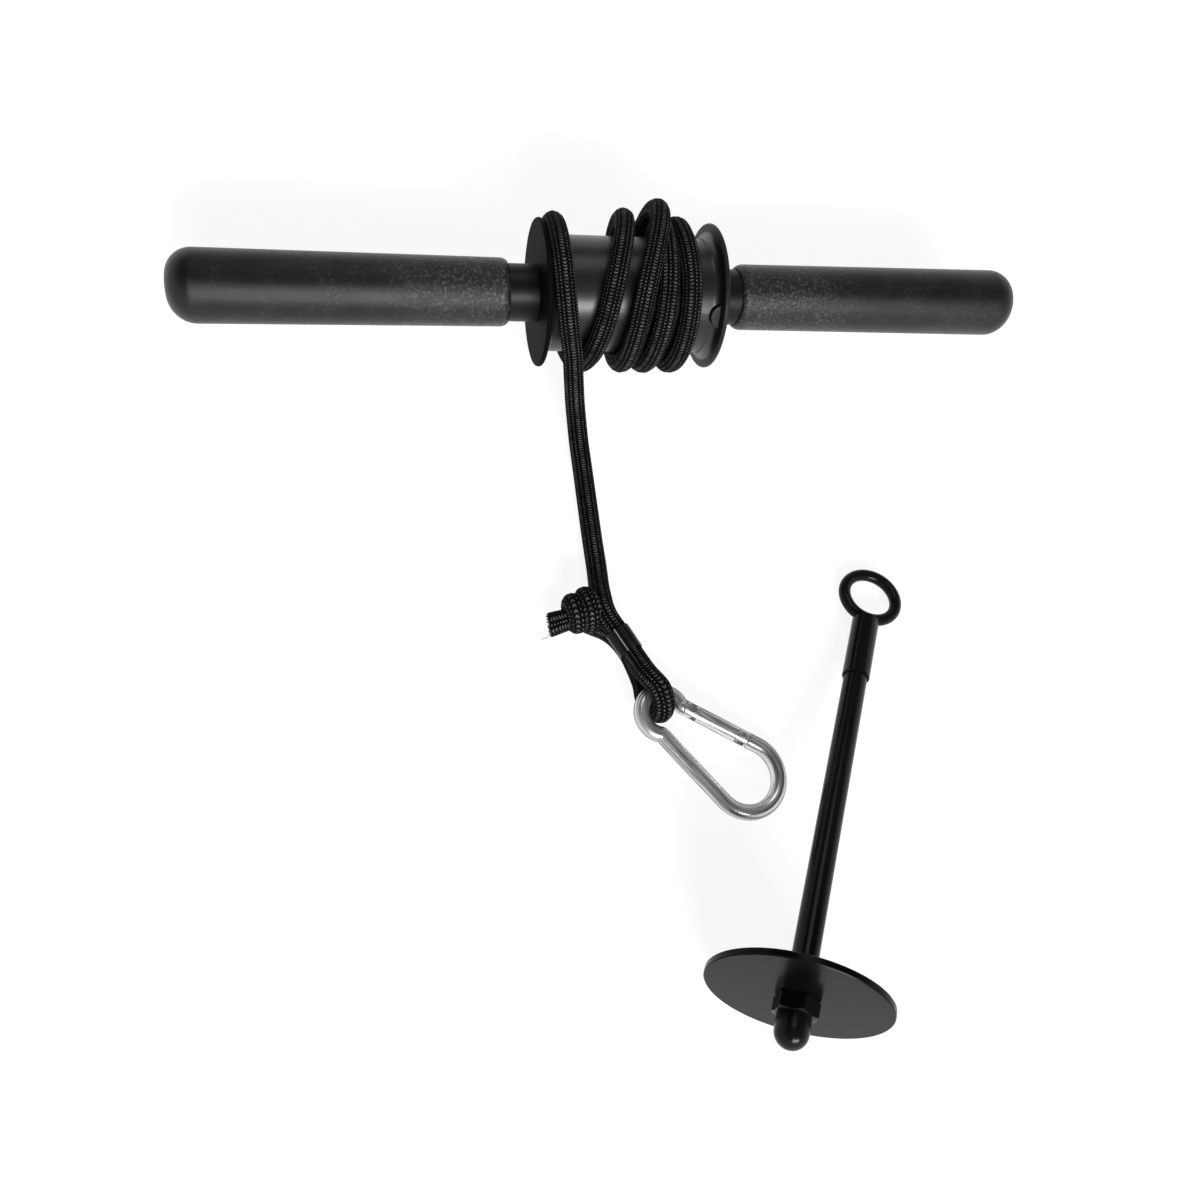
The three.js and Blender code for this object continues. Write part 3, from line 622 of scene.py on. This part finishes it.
def rowHeight(share):                               # rows of the braid stand up from the rope
    inside = share * braid["rows"] % 1
    if inside < braid["broad"]:
        return math.sin(math.pi * inside / braid["broad"]) ** 0.6
    left, right = braid["narrow"]
    return 0.8 * math.sin(math.pi * min(max((inside - left) / (right - left), 0), 1)) ** 0.8


def braidTube(points, radii, sides, squash=None):
    bm = bmesh.new()
    raised = bm.verts.layers.float.new("raised")
    wrap = bm.loops.layers.uv.new("wrap")
    last = len(points) - 1
    tangent = (points[1] - points[0]).normalized()
    side = tangent.orthogonal().normalized()
    rings, along = [], 0.0
    for i, point in enumerate(points):
        ahead = (points[min(i + 1, last)] - points[max(i - 1, 0)]).normalized()
        side = (tangent.rotation_difference(ahead) @ side)
        side = (side - ahead * side.dot(ahead)).normalized()
        tangent = ahead
        up = tangent.cross(side)
        if i:
            along += (point - points[i - 1]).length
        ring = []
        for k in range(sides):
            share = k / sides
            height = rowHeight(share)
            angle = math.tau * share
            reach = radii[i] - rope["relief"] * (1 - height)
            place = point + (side * math.cos(angle) + up * math.sin(angle)) * reach
            if squash:
                place = squash(place)
            vert = bm.verts.new(place)
            vert[raised] = height
            ring.append(vert)
        rings.append((ring, along))
    skinRings(bm, rings, wrap, braid["round"])
    capEnds(bm, [ring for ring, _ in rings])
    bmesh.ops.recalc_face_normals(bm, faces=bm.faces)
    return bm


def aboveFloor(place):
    return Vector((place.x, place.y, max(place.z, rope["lowest"])))


def makeRope():
    points, length = smoothRoute(ropeRoute(), rope["ring"])
    bm = braidTube(points, [rope["diameter"] / 2] * len(points), rope["sides"], squash=aboveFloor)
    nodes = ("rope_winding", "rope_fall", "rope_loop")
    obj = addPiece("rope", bm, ropeMat, sharp=80, nodes=nodes)
    return obj, points, length


ropePiece, ropePath, ropeLength = makeRope()
print("rope done, mm:", round(ropeLength / mm))


# knots: two wraps side by side that cross over underneath, their ends tucked in

knotTurns = {                                       # degrees round a knot
    "whole": (-110, 630),
    "enter": (-110, -40),
    "cross": (190, 320),
    "leave": (560, 630),
}
knot = {
    "place": (-38, -160.6, 11.2),
    "turn": 12,                                     # degrees on the floor
    "half": 3.3 * mm,                               # from the middle to the middle of a wrap
    "wrap": 4.7 * mm,                               # radius of the rope in a wrap
    "ring": (6.4 * mm, 4.9 * mm),                   # centre line's radius in the right and in the left wrap
    "tucked": 2.4 * mm,
    "points": 60,
}
stopper = {
    "half": 2.9 * mm,
    "wrap": 3.9 * mm,
    "ring": (3.0 * mm, 3.0 * mm),
    "tucked": 1.6 * mm,
    "points": 40,
    "behind": 12,                                   # places along the rope that give its turn
}


def easy(low, high, value):                         # 0 below low, 1 above high, smooth
    share = min(max((value - low) / (high - low), 0), 1)
    return share * share * (3 - 2 * share)


def knotPath(sizes, frameOf):                       # turned about its own X, its crossing underneath
    start, end = knotTurns["whole"]
    points = []
    for i in range(sizes["points"] + 1):
        angle = start + (end - start) * i / sizes["points"]
        over = easy(*knotTurns["cross"], angle)
        ring = sizes["ring"][0] * (1 - over) + sizes["ring"][1] * over
        inside = 1 - easy(*knotTurns["enter"], angle) + easy(*knotTurns["leave"], angle)
        ring += (sizes["tucked"] - ring) * inside
        x = sizes["half"] * (1 - 2 * over) * (1 - 0.5 * inside)
        a = math.radians(angle)
        points.append(frameOf @ Vector((x, -ring * math.cos(a), ring * math.sin(a))))
    return points


def makeKnot(name, sizes, frameOf, node):
    points, _ = smoothRoute(knotPath(sizes, frameOf), rope["ring"])
    bm = braidTube(points, [sizes["wrap"]] * len(points), rope["sides"], squash=aboveFloor)
    return addPiece(name, bm, ropeMat, sharp=80, nodes=(node,))


knotMiddle = onFloor([knot["place"]])[0]
knotFrame = Matrix.Translation(knotMiddle) @ Matrix.Rotation(math.radians(knot["turn"]), 4, "Z")
knotPiece = makeKnot("end_knot", knot, knotFrame, "rope_knot")
inwards = (ropePath[0] - ropePath[stopper["behind"]]).normalized()
stopperTurn = inwards.to_track_quat("Z", "X").to_matrix().to_4x4()
stopperFrame = Matrix.Translation(middle("stopper_knot")) @ stopperTurn
stopperPiece = makeKnot("stopper", stopper, stopperFrame, "stopper_knot")


# cut end of the rope, spread a little, with loose fibres

tail = {
    "route": ((-43.4, -162.6, 8.2), (-46.6, -163.1, 7.4), (-49.8, -163.7, 6.7), (-52.6, -164.3, 6.1)),
    "radius": 5.1 * mm,
    "spread": 0.5 * mm,
    "lean": -0.18,                                  # slope of the cut
    "fibres": 90,
    "fibre": 0.13 * mm,
    "root": 0.3 * mm,                               # how deep a fibre starts
    "stray": 0.4 * mm,
    "loose": (0.5, 1.1),                            # length of a fibre, millimetres
    "standing": 0.75,                               # a thread is as light as the top of a stitch
    "thread": ((0, 0, 0), (-1.1, -0.7, -0.3), (-2.2, -0.6, -0.7), (-3.1, -1.1, -0.9)),
}


def threadTube(bm, points, radius, sides=5):
    start = (points[1] - points[0]).normalized()
    side = start.orthogonal().normalized()
    rings = []
    for i, point in enumerate(points):
        ahead = (points[min(i + 1, len(points) - 1)] - points[max(i - 1, 0)]).normalized()
        side = (side - ahead * side.dot(ahead)).normalized()
        up = ahead.cross(side)
        turns = [math.tau * k / sides for k in range(sides)]
        outs = [(side * math.cos(a) + up * math.sin(a)) * radius for a in turns]
        rings.append([bm.verts.new(point + out) for out in outs])
        for vert in rings[-1]:
            vert[bm.verts.layers.float["raised"]] = tail["standing"]
    for ring, following in zip(rings, rings[1:]):
        facesBetween(bm, ring, following)
    capEnds(bm, rings)


def makeTail():
    points, length = smoothRoute(onFloor(tail["route"]), rope["ring"] / 2)
    start = points[0]
    ahead = (points[-1] - points[-4]).normalized()
    last = len(points) - 1
    radii = [tail["radius"] + tail["spread"] * easy(0, 1, i / last) for i in range(last + 1)]

    def cut(place):
        reach = easy(0.5, 1, (place - start).dot(ahead) / length)
        lean = (place - points[-1]).dot(Vector((0, 1, 0))) * tail["lean"]
        return aboveFloor(place + ahead * lean * reach)

    bm = braidTube(points, radii, rope["sides"], squash=cut)
    side = ahead.orthogonal().normalized()
    up = ahead.cross(side)
    for _ in range(tail["fibres"]):
        angle = random.uniform(0, math.tau)
        reach = tail["radius"] * math.sqrt(random.uniform(0.1, 1.05))
        out = (side * math.cos(angle) + up * math.sin(angle)) * reach
        root = cut(points[-1] + out - ahead * tail["root"])
        drift = Vector([random.uniform(-tail["stray"], tail["stray"]) for _ in range(3)])
        tip = root + ahead * random.uniform(*tail["loose"]) * mm + drift
        threadTube(bm, [root, (root + tip) / 2 + drift * 0.3, aboveFloor(tip)], tail["fibre"])
    corner = cut(points[-1] - Vector((0, 1, 0.3)) * tail["radius"] * 0.9)
    threadTube(bm, [aboveFloor(corner + Vector(p) * mm) for p in tail["thread"]], tail["fibre"])
    return addPiece("tail", bm, ropeMat, sharp=80, nodes=("rope_tail",))


tailPiece = makeTail()


# band of glossy film round the loop's upper leg, with a pale strip painted along its top as a highlight

band = {
    "wall": 0.5 * mm,
    "gap": 0.12 * mm,
    "half": 6.3 * mm,                               # from its middle to its end
    "below": 4 * mm,                                # the lower leg lies further down than this
    "lap": 0.22 * mm,
    "ripple": 0.06 * mm,
    "sides": 64,
    "highlightSide": 5,                                      # the side that carries the painted highlight strip
}


def makeBand():
    centre = middle("loop_band")
    upper = [p for p in ropePath if p.z > centre.z - band["below"]]
    near = [p for p in upper if (p - centre).length < band["half"]]
    bm = bmesh.new()
    inner, outer = [], []
    ahead = (near[-1] - near[0]).normalized()
    side = ahead.cross(Vector((0, 0, 1))).normalized()
    up = side.cross(ahead)
    for i in (0, len(near) // 4, len(near) // 2, 3 * len(near) // 4, len(near) - 1):
        for rings, extra in ((inner, 0), (outer, band["wall"])):
            ring = []
            for k in range(band["sides"]):
                angle = math.tau * k / band["sides"]
                reach = rope["diameter"] / 2 + band["gap"] + extra
                if extra:
                    reach += band["lap"] * (k / band["sides"]) ** 6
                    reach += band["ripple"] * math.sin(i * 1.7 + angle * 5)
                out = side * math.sin(angle) + up * math.cos(angle)
                ring.append(bm.verts.new(near[i] + out * reach))
            rings.append(ring)
    for rings, flip in ((outer, False), (inner, True)):
        for ring, following in zip(rings, rings[1:]):
            for k in range(band["sides"]):
                n = (k + 1) % band["sides"]
                corners = [ring[k], ring[n], following[n], following[k]]
                face = bm.faces.new(reversed(corners) if flip else corners)
                # one strip of the outer faces takes the painted highlight material
                face.material_index = 1 if k == band["highlightSide"] and not flip else 0
    for index in (0, -1):
        for k in range(band["sides"]):
            n = (k + 1) % band["sides"]
            bm.faces.new((outer[index][k], outer[index][n], inner[index][n], inner[index][k]))
    bmesh.ops.recalc_face_normals(bm, faces=bm.faces)
    obj = addPiece("film_band", bm, bandMat, sharp=40, nodes=("loop_band",))
    obj.data.materials.append(highlightStripMat)
    return obj


bandPiece = makeBand()
print("knots, tail and band done")


# snap hook: wire, its flat ends, and the gate with its slots

def gateFrame():                                    # X from the rivet along the gate, in the hook's frame
    aim = math.radians(hook["eyeTurn"])
    eye = Vector((hook["eyeRadius"] * math.cos(aim), -hook["eyeRadius"] * math.sin(aim), 0))
    hinge = eye + Vector((hook["hingeFromEye"], hook["waistHalf"], 0))
    reach = hook["length"] - 2 * hook["wire"] - hook["eyeRadius"] - hook["bowRadius"]
    toBow = eye + Vector((reach, 0, 0)) - hinge
    lean = math.asin(hook["bowRadius"] / toBow.length) + math.atan2(toBow.y, toBow.x)
    return Matrix.Translation(hinge) @ Matrix.Rotation(lean, 4, "Z"), eye, reach, lean


gatePlace, eyeMiddle, eyeToBow, gateLean = gateFrame()


def wireArc(x, radius, start, end, count):
    turns = [start + (end - start) * i / count for i in range(count + 1)]
    return [eyeMiddle + Vector((x + radius * math.cos(a), radius * math.sin(a), 0)) for a in turns]


def wireRoute():                                    # nose, bow, back, eye, hinge
    nose = gatePlace @ Vector((hook["gateLength"] + hook["noseGap"], 0, 0))
    lean = math.pi / 2 + gateLean
    bow = wireArc(eyeToBow, hook["bowRadius"], lean, -lean, hook["bowSteps"])
    hinge = gatePlace @ Vector((0, 0, 0))
    mirrored = Vector((hinge.x, 2 * eyeMiddle.y - hinge.y, 0))
    back = [bow[-1].lerp(mirrored, i / hook["backSteps"]) for i in range(1, hook["backSteps"] + 1)]
    turned = math.radians(hook["eyeArc"])
    start = turned - math.pi
    eye = wireArc(0, hook["eyeRadius"], start, start - 2 * turned, hook["eyeSteps"])
    stub = [gatePlace @ Vector((x, 0, 0)) for x in (-hook["stub"], -hook["wire"] - hook["noseGap"])]
    return [nose, (nose + bow[0]) / 2, *bow, *back, *eye, *stub]


def wireTube(bm, layer, points, radius, sides):     # in the hook's plane; its end hollowed for the gate
    rings, along = [], 0.0
    last = len(points) - 1
    for i, point in enumerate(points):
        ahead = (points[min(i + 1, last)] - points[max(i - 1, 0)]).normalized()
        side = Vector((-ahead.y, ahead.x, 0))
        along += (point - points[i - 1]).length if i else 0
        ring = []
        for k in range(sides):
            angle = math.tau * k / sides
            place = point + (side * math.cos(angle) + Vector((0, 0, 1)) * math.sin(angle)) * radius
            if i == last:
                flat = gatePlace.inverted() @ place
                flat.x = -math.sqrt((radius + hook["noseGap"]) ** 2 - flat.y ** 2)
                place = gatePlace @ flat
            ring.append(bm.verts.new(place))
        rings.append((ring, along))
    skinRings(bm, rings, layer, math.tau * radius)
    for ring, point in ((rings[0][0], points[0]), (rings[-1][0], points[-1])):
        hub = bm.verts.new(point)
        for k in range(sides):
            bm.faces.new((ring[k], ring[(k + 1) % sides], hub))


def flatPlate(bm, outline, thickness):              # plate in the hook's plane, in the gate's frame
    top = [bm.verts.new(gatePlace @ Vector((x, y, thickness / 2))) for x, y in outline]
    under = [bm.verts.new(gatePlace @ Vector((x, y, -thickness / 2))) for x, y in outline]
    bm.faces.new(top)
    bm.faces.new(list(reversed(under)))
    for k in range(len(outline)):
        n = (k + 1) % len(outline)
        bm.faces.new((top[k], under[k], under[n], top[n]))


def makeHookWire():
    points, _ = smoothRoute(wireRoute(), hook["ring"])
    bm = bmesh.new()
    layer = bm.loops.layers.uv.new("wrap")
    wireTube(bm, layer, points, hook["wire"], hook["sides"])
    half = hook["tongueHalf"]
    turns = [math.radians(90 - 180 * i / hook["hingeSteps"]) for i in range(hook["hingeSteps"] + 1)]
    hinge = [(half * math.cos(a), half * math.sin(a)) for a in turns]
    flatPlate(bm, [(-hook["stub"], half), *hinge, (-hook["stub"], -half)], hook["tongueThickness"])
    latch = hook["gateLength"] - hook["latchInset"]
    room = hook["latchRadius"] + hook["running"]
    wide = room + hook["latchSlack"]
    start, end = hook["gateLength"] - hook["tongueReach"], hook["gateLength"] + 2 * hook["noseGap"]
    nose = [(start, half), (end, half), (end, -half), (latch + wide, -half), (latch + wide, room),
            (latch - wide, room), (latch - wide, -half), (start, -half)]
    flatPlate(bm, nose, hook["tongueThickness"])
    bmesh.ops.transform(bm, matrix=hookPlace, verts=bm.verts)
    bmesh.ops.recalc_face_normals(bm, faces=bm.faces)
    return addPiece("hook_wire", bm, drawnMat, sharp=35, body="hook", nodes=("hook_body",))


def gatePart(bm, layer, start, end, side, roundEnd=False):      # side 0: full round, else one cheek
    radius, edge = hook["wire"], hook["edge"]
    low = math.asin((hook["tongueThickness"] / 2 + hook["running"]) / radius)
    if side:
        steps = hook["cheekSteps"]
        turns = [low + (math.pi - 2 * low) * k / steps for k in range(steps + 1)]
    else:
        turns = [math.tau * k / hook["sides"] for k in range(hook["sides"])]
    rings = []
    for x, shrink in ((start, edge), (start + edge, 0), (end - edge, 0), (end, edge)):
        ring = []
        for a in turns:
            y, z = (radius - shrink) * math.cos(a), (radius - shrink) * math.sin(a) * (side or 1)
            place = x
            if roundEnd and x <= start + edge:
                place = x - start - math.sqrt(max(radius ** 2 - y ** 2, 0))
            ring.append(bm.verts.new(gatePlace @ Vector((place, y, z))))
        rings.append((ring, x))
    skinRings(bm, rings, layer, math.tau * radius)
    bm.faces.new(rings[0][0])
    bm.faces.new(rings[-1][0])


def makeGate():
    bm = bmesh.new()
    layer = bm.loops.layers.uv.new("wrap")
    hingeSlot = hook["tongueHalf"] + hook["noseGap"]
    noseSlot = hook["gateLength"] - hook["tongueReach"] - hook["noseGap"]
    gatePart(bm, layer, hingeSlot, noseSlot, 0)
    for side in (1, -1):
        gatePart(bm, layer, 0.0, hingeSlot + hook["edge"], side, roundEnd=True)
        gatePart(bm, layer, noseSlot - hook["edge"], hook["gateLength"], side)
    bmesh.ops.transform(bm, matrix=hookPlace, verts=bm.verts)
    bmesh.ops.recalc_face_normals(bm, faces=bm.faces)
    return addPiece("gate_barrel", bm, drawnMat, sharp=35, body="gate", nodes=("hook_gate",))


def drawnZinc():                                    # streaks along the wire
    mat = Mat("drawnZinc", metallic=0.8)
    around, along = mat.unwrapped()
    mat.set("Specular Tint", (0.3, 0.305, 0.315, 1))
    turn = around * (1 / hook["wire"])
    across, up = (turn + math.pi / 2).wave(), turn.wave()
    broad = mat.noise(1, 3, 0.6, mat.join(across * 1.8, up * 1.8, along * 16))
    fine = mat.noise(1, 3, 0.7, mat.join(across * 6, up * 6, along * 60))
    patches = mat.noise(150, 3)
    streaks = (broad * 0.7 + fine * 0.3).between(0.42, 0.58)
    mat.bump(broad + fine * 0.1, 0.05 * mm, 0.5)
    mat.set("Base Color", mat.blend(streaks, (0.27, 0.275, 0.285), (0.95, 0.955, 0.96)))
    mat.set("Roughness", 0.2 + patches * 0.08 + fine * 0.08)
    return mat.data


drawnMat = drawnZinc()
wirePiece = makeHookWire()
gatePiece = makeGate()
print("hook done")

for node in ("gate_rivet", "latch_pin", "gate_plunger", "gate_spring"):
    finishNode(node, zincMat, sharp=40)
for node in ("pin_rod", "dome_nut"):
    finishNode(node, glossMat)
finishNode("weight_disc", discMat)
finishNode("spool_drum", satinMat)
# painted shade: the left flange takes the darker copy of the paint, the right flange does not
finishNode("left_flange", shadedFlangeMat)
for node in ("right_flange", "drum_plug"):
    finishNode(node, plugMat)
for node in ("left_handle_tube", "right_handle_tube"):
    finishNode(node, tubeMat)


# loading pin's ring and sleeve: a thicker bar and a longer sleeve than the solids have

pin = {
    "ringRadius": 13.35 * mm,
    "barRadius": 2.9 * mm,
    "steps": 96,
    "sides": 28,
    "longer": 10 * mm,                              # added to the sleeve
    "mouth": 30 * mm,                               # the sleeve's far end lies past this, from the ring
    "top": 15.6 * mm,                               # where the sleeve starts at the ring
}
ringMiddle = middle("pin_ring")
pinAxis = (middle("weight_disc") - ringMiddle).normalized()
ringPoints = [v.co - ringMiddle for v in frame["nodes"]["pin_ring"].data.vertices]
pinSide = max(ringPoints, key=lambda p: p.cross(pinAxis).length)
pinUp = pinAxis.cross(pinSide).normalized()
pinSide = pinUp.cross(pinAxis)


def makeRing():
    bm = bmesh.new()
    rings = []
    for i in range(pin["steps"]):
        angle = math.tau * i / pin["steps"]
        out = pinAxis * math.cos(angle) + pinSide * math.sin(angle)
        ring = []
        for k in range(pin["sides"]):
            turn = math.tau * k / pin["sides"]
            reach = pin["ringRadius"] + pin["barRadius"] * math.cos(turn)
            ring.append(bm.verts.new(ringMiddle + out * reach + pinUp * pin["barRadius"] * math.sin(turn)))
        rings.append(ring)
    for ring, following in zip(rings, rings[1:] + rings[:1]):
        facesBetween(bm, ring, following)
    bmesh.ops.recalc_face_normals(bm, faces=bm.faces)
    addPiece("ring_bar", bm, glossMat, body="loading_pin", nodes=("pin_ring",))


def makeSleeve():
    bm = bmesh.new()
    bm.from_mesh(frame["nodes"]["pin_sleeve"].data)
    bmesh.ops.remove_doubles(bm, verts=bm.verts, dist=weldDistance)
    for v in bm.verts:
        if (v.co - ringMiddle).dot(pinAxis) > pin["mouth"]:
            v.co += pinAxis * pin["longer"]
    parts = bm.verts[:] + bm.edges[:] + bm.faces[:]
    start = ringMiddle + pinAxis * pin["top"]
    cut = bmesh.ops.bisect_plane(bm, geom=parts, plane_co=start, plane_no=pinAxis, clear_inner=True)
    bmesh.ops.holes_fill(bm, edges=[e for e in cut["geom_cut"] if isinstance(e, bmesh.types.BMEdge)])
    bmesh.ops.recalc_face_normals(bm, faces=bm.faces)
    obj = addPiece("sleeve_tube", bm, glossMat, 30, "loading_pin", ("pin_sleeve",))
    obj.modifiers.new("weigh", "WEIGHTED_NORMAL").keep_sharp = True


makeRing()
makeSleeve()
print("ring and sleeve done")


# grips

grip = {
    "innerRadius": 16.1 * mm,
    "outerRadius": 16.8 * mm,
    "dome": 12.5 * mm,
    "shoulder": 4 * mm,
    "bore": 13.9 * mm,
    "endWall": 5 * mm,
    "steps": 128,
    "shoulderSteps": 12,
    "domeSteps": 20,
}


def makeGrip(side):
    low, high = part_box(f"{side}_grip")
    start, end = (low[0], high[0]) if side == "right" else (-high[0], -low[0])
    flat = grip["outerRadius"] - grip["dome"]
    wall = [
        (end - grip["endWall"], 0),
        (end - grip["endWall"], grip["bore"]),
        (start, grip["bore"]),
    ]
    shoulder = arc(start + grip["shoulder"], grip["bore"], -grip["shoulder"],
                   grip["innerRadius"] - grip["bore"], 0, 90, grip["shoulderSteps"])
    dome = arc(end - grip["dome"], flat, grip["dome"], grip["dome"], 90, 0, grip["domeSteps"])
    bm = spun(wall + shoulder + dome + [(end, 0)], grip["steps"])
    wrapSpun(bm, grip["outerRadius"], end, -1)
    turn = Matrix.Identity(4) if side == "right" else Matrix.Rotation(math.pi, 4, "Z")
    bmesh.ops.transform(bm, matrix=Matrix.Translation((0, axisY, axisZ)) @ turn, verts=bm.verts)
    addPiece(f"{side}_grip_skin", bm, gripMat, nodes=(f"{side}_grip",))


makeGrip("left")
makeGrip("right")
print("grips done")


# stage and light

stage = {
    "floor": 6.0,
    "wall": 3.0,
    "sweep": 1.5,
    "sweepStart": -80,                              # degrees below level
    "sweepSteps": 8,
    "sides": 96,
    "color": (0.3, 0.3, 0.3),
    "lift": 0.88,                                   # the floor's own light, as the camera sees it
    "world": 0.13,
}
lamps = {                                           # place, aim, size, watts
    "key": ((0.1, -2.05, 1.15), (0, 0, 0.03), (1.3, 0.6), 62),
    "top": ((0.1, 0.8, 1.5), (0, 0, 0), (0.7, 0.7), 3),
}


def makeStage():
    bm = bmesh.new()                                # floor that sweeps up to a wall all round
    sweep, flat = stage["sweep"], stage["floor"] - stage["sweep"]
    bmesh.ops.create_circle(bm, cap_ends=True, segments=stage["sides"], radius=flat)
    edges = bm.edges[:]
    rise = arc(flat, sweep, sweep, sweep, stage["sweepStart"], 0, stage["sweepSteps"])
    for r, z in rise + [(stage["floor"], stage["wall"])]:
        raised = bmesh.ops.extrude_edge_only(bm, edges=edges)["geom"]
        edges = [e for e in raised if isinstance(e, bmesh.types.BMEdge)]
        for v in (v for v in raised if isinstance(v, bmesh.types.BMVert)):
            v.co = Vector((v.co.x, v.co.y, 0)).normalized() * r + Vector((0, 0, z))
    data = bpy.data.meshes.new("floor")
    bm.to_mesh(data)
    bm.free()
    data.shade_smooth()
    floor = bpy.data.objects.new("floor", data)
    bpy.context.collection.objects.link(floor)
    mat = Mat("floor", color=stage["color"], roughness=0.9)
    path = mat.nodes.new("ShaderNodeLightPath")
    seen = Val(mat, path.outputs["Is Camera Ray"]).math("MAXIMUM", Val(mat, path.outputs["Is Glossy Ray"]))
    seen = seen.math("MAXIMUM", Val(mat, path.outputs["Is Transmission Ray"]))
    mat.set("Specular IOR Level", 0.0)
    mat.set("Emission Color", (1, 1, 1, 1))
    mat.set("Emission Strength", seen * stage["lift"])
    data.materials.append(mat.data)


def makeWorld():
    world = bpy.data.worlds.new("world")
    bpy.context.scene.world = world
    world.use_nodes = True
    back = world.node_tree.nodes["Background"]
    back.inputs["Color"].default_value = (1, 1, 1, 1)
    back.inputs["Strength"].default_value = stage["world"]


def addLamp(name, place, aim, size, power):
    data = bpy.data.lights.new(name, "AREA")
    data.shape = "RECTANGLE"
    data.size, data.size_y = size
    data.energy = power
    lamp = bpy.data.objects.new(name, data)
    lamp.location = place
    lamp.rotation_euler = (Vector(aim) - Vector(place)).to_track_quat("-Z", "Y").to_euler()
    bpy.context.collection.objects.link(lamp)


makeStage()
makeWorld()
for name, settings in lamps.items():
    addLamp(name, *settings)
bpy.context.scene.view_settings.view_transform = "Standard"
print("stage done")
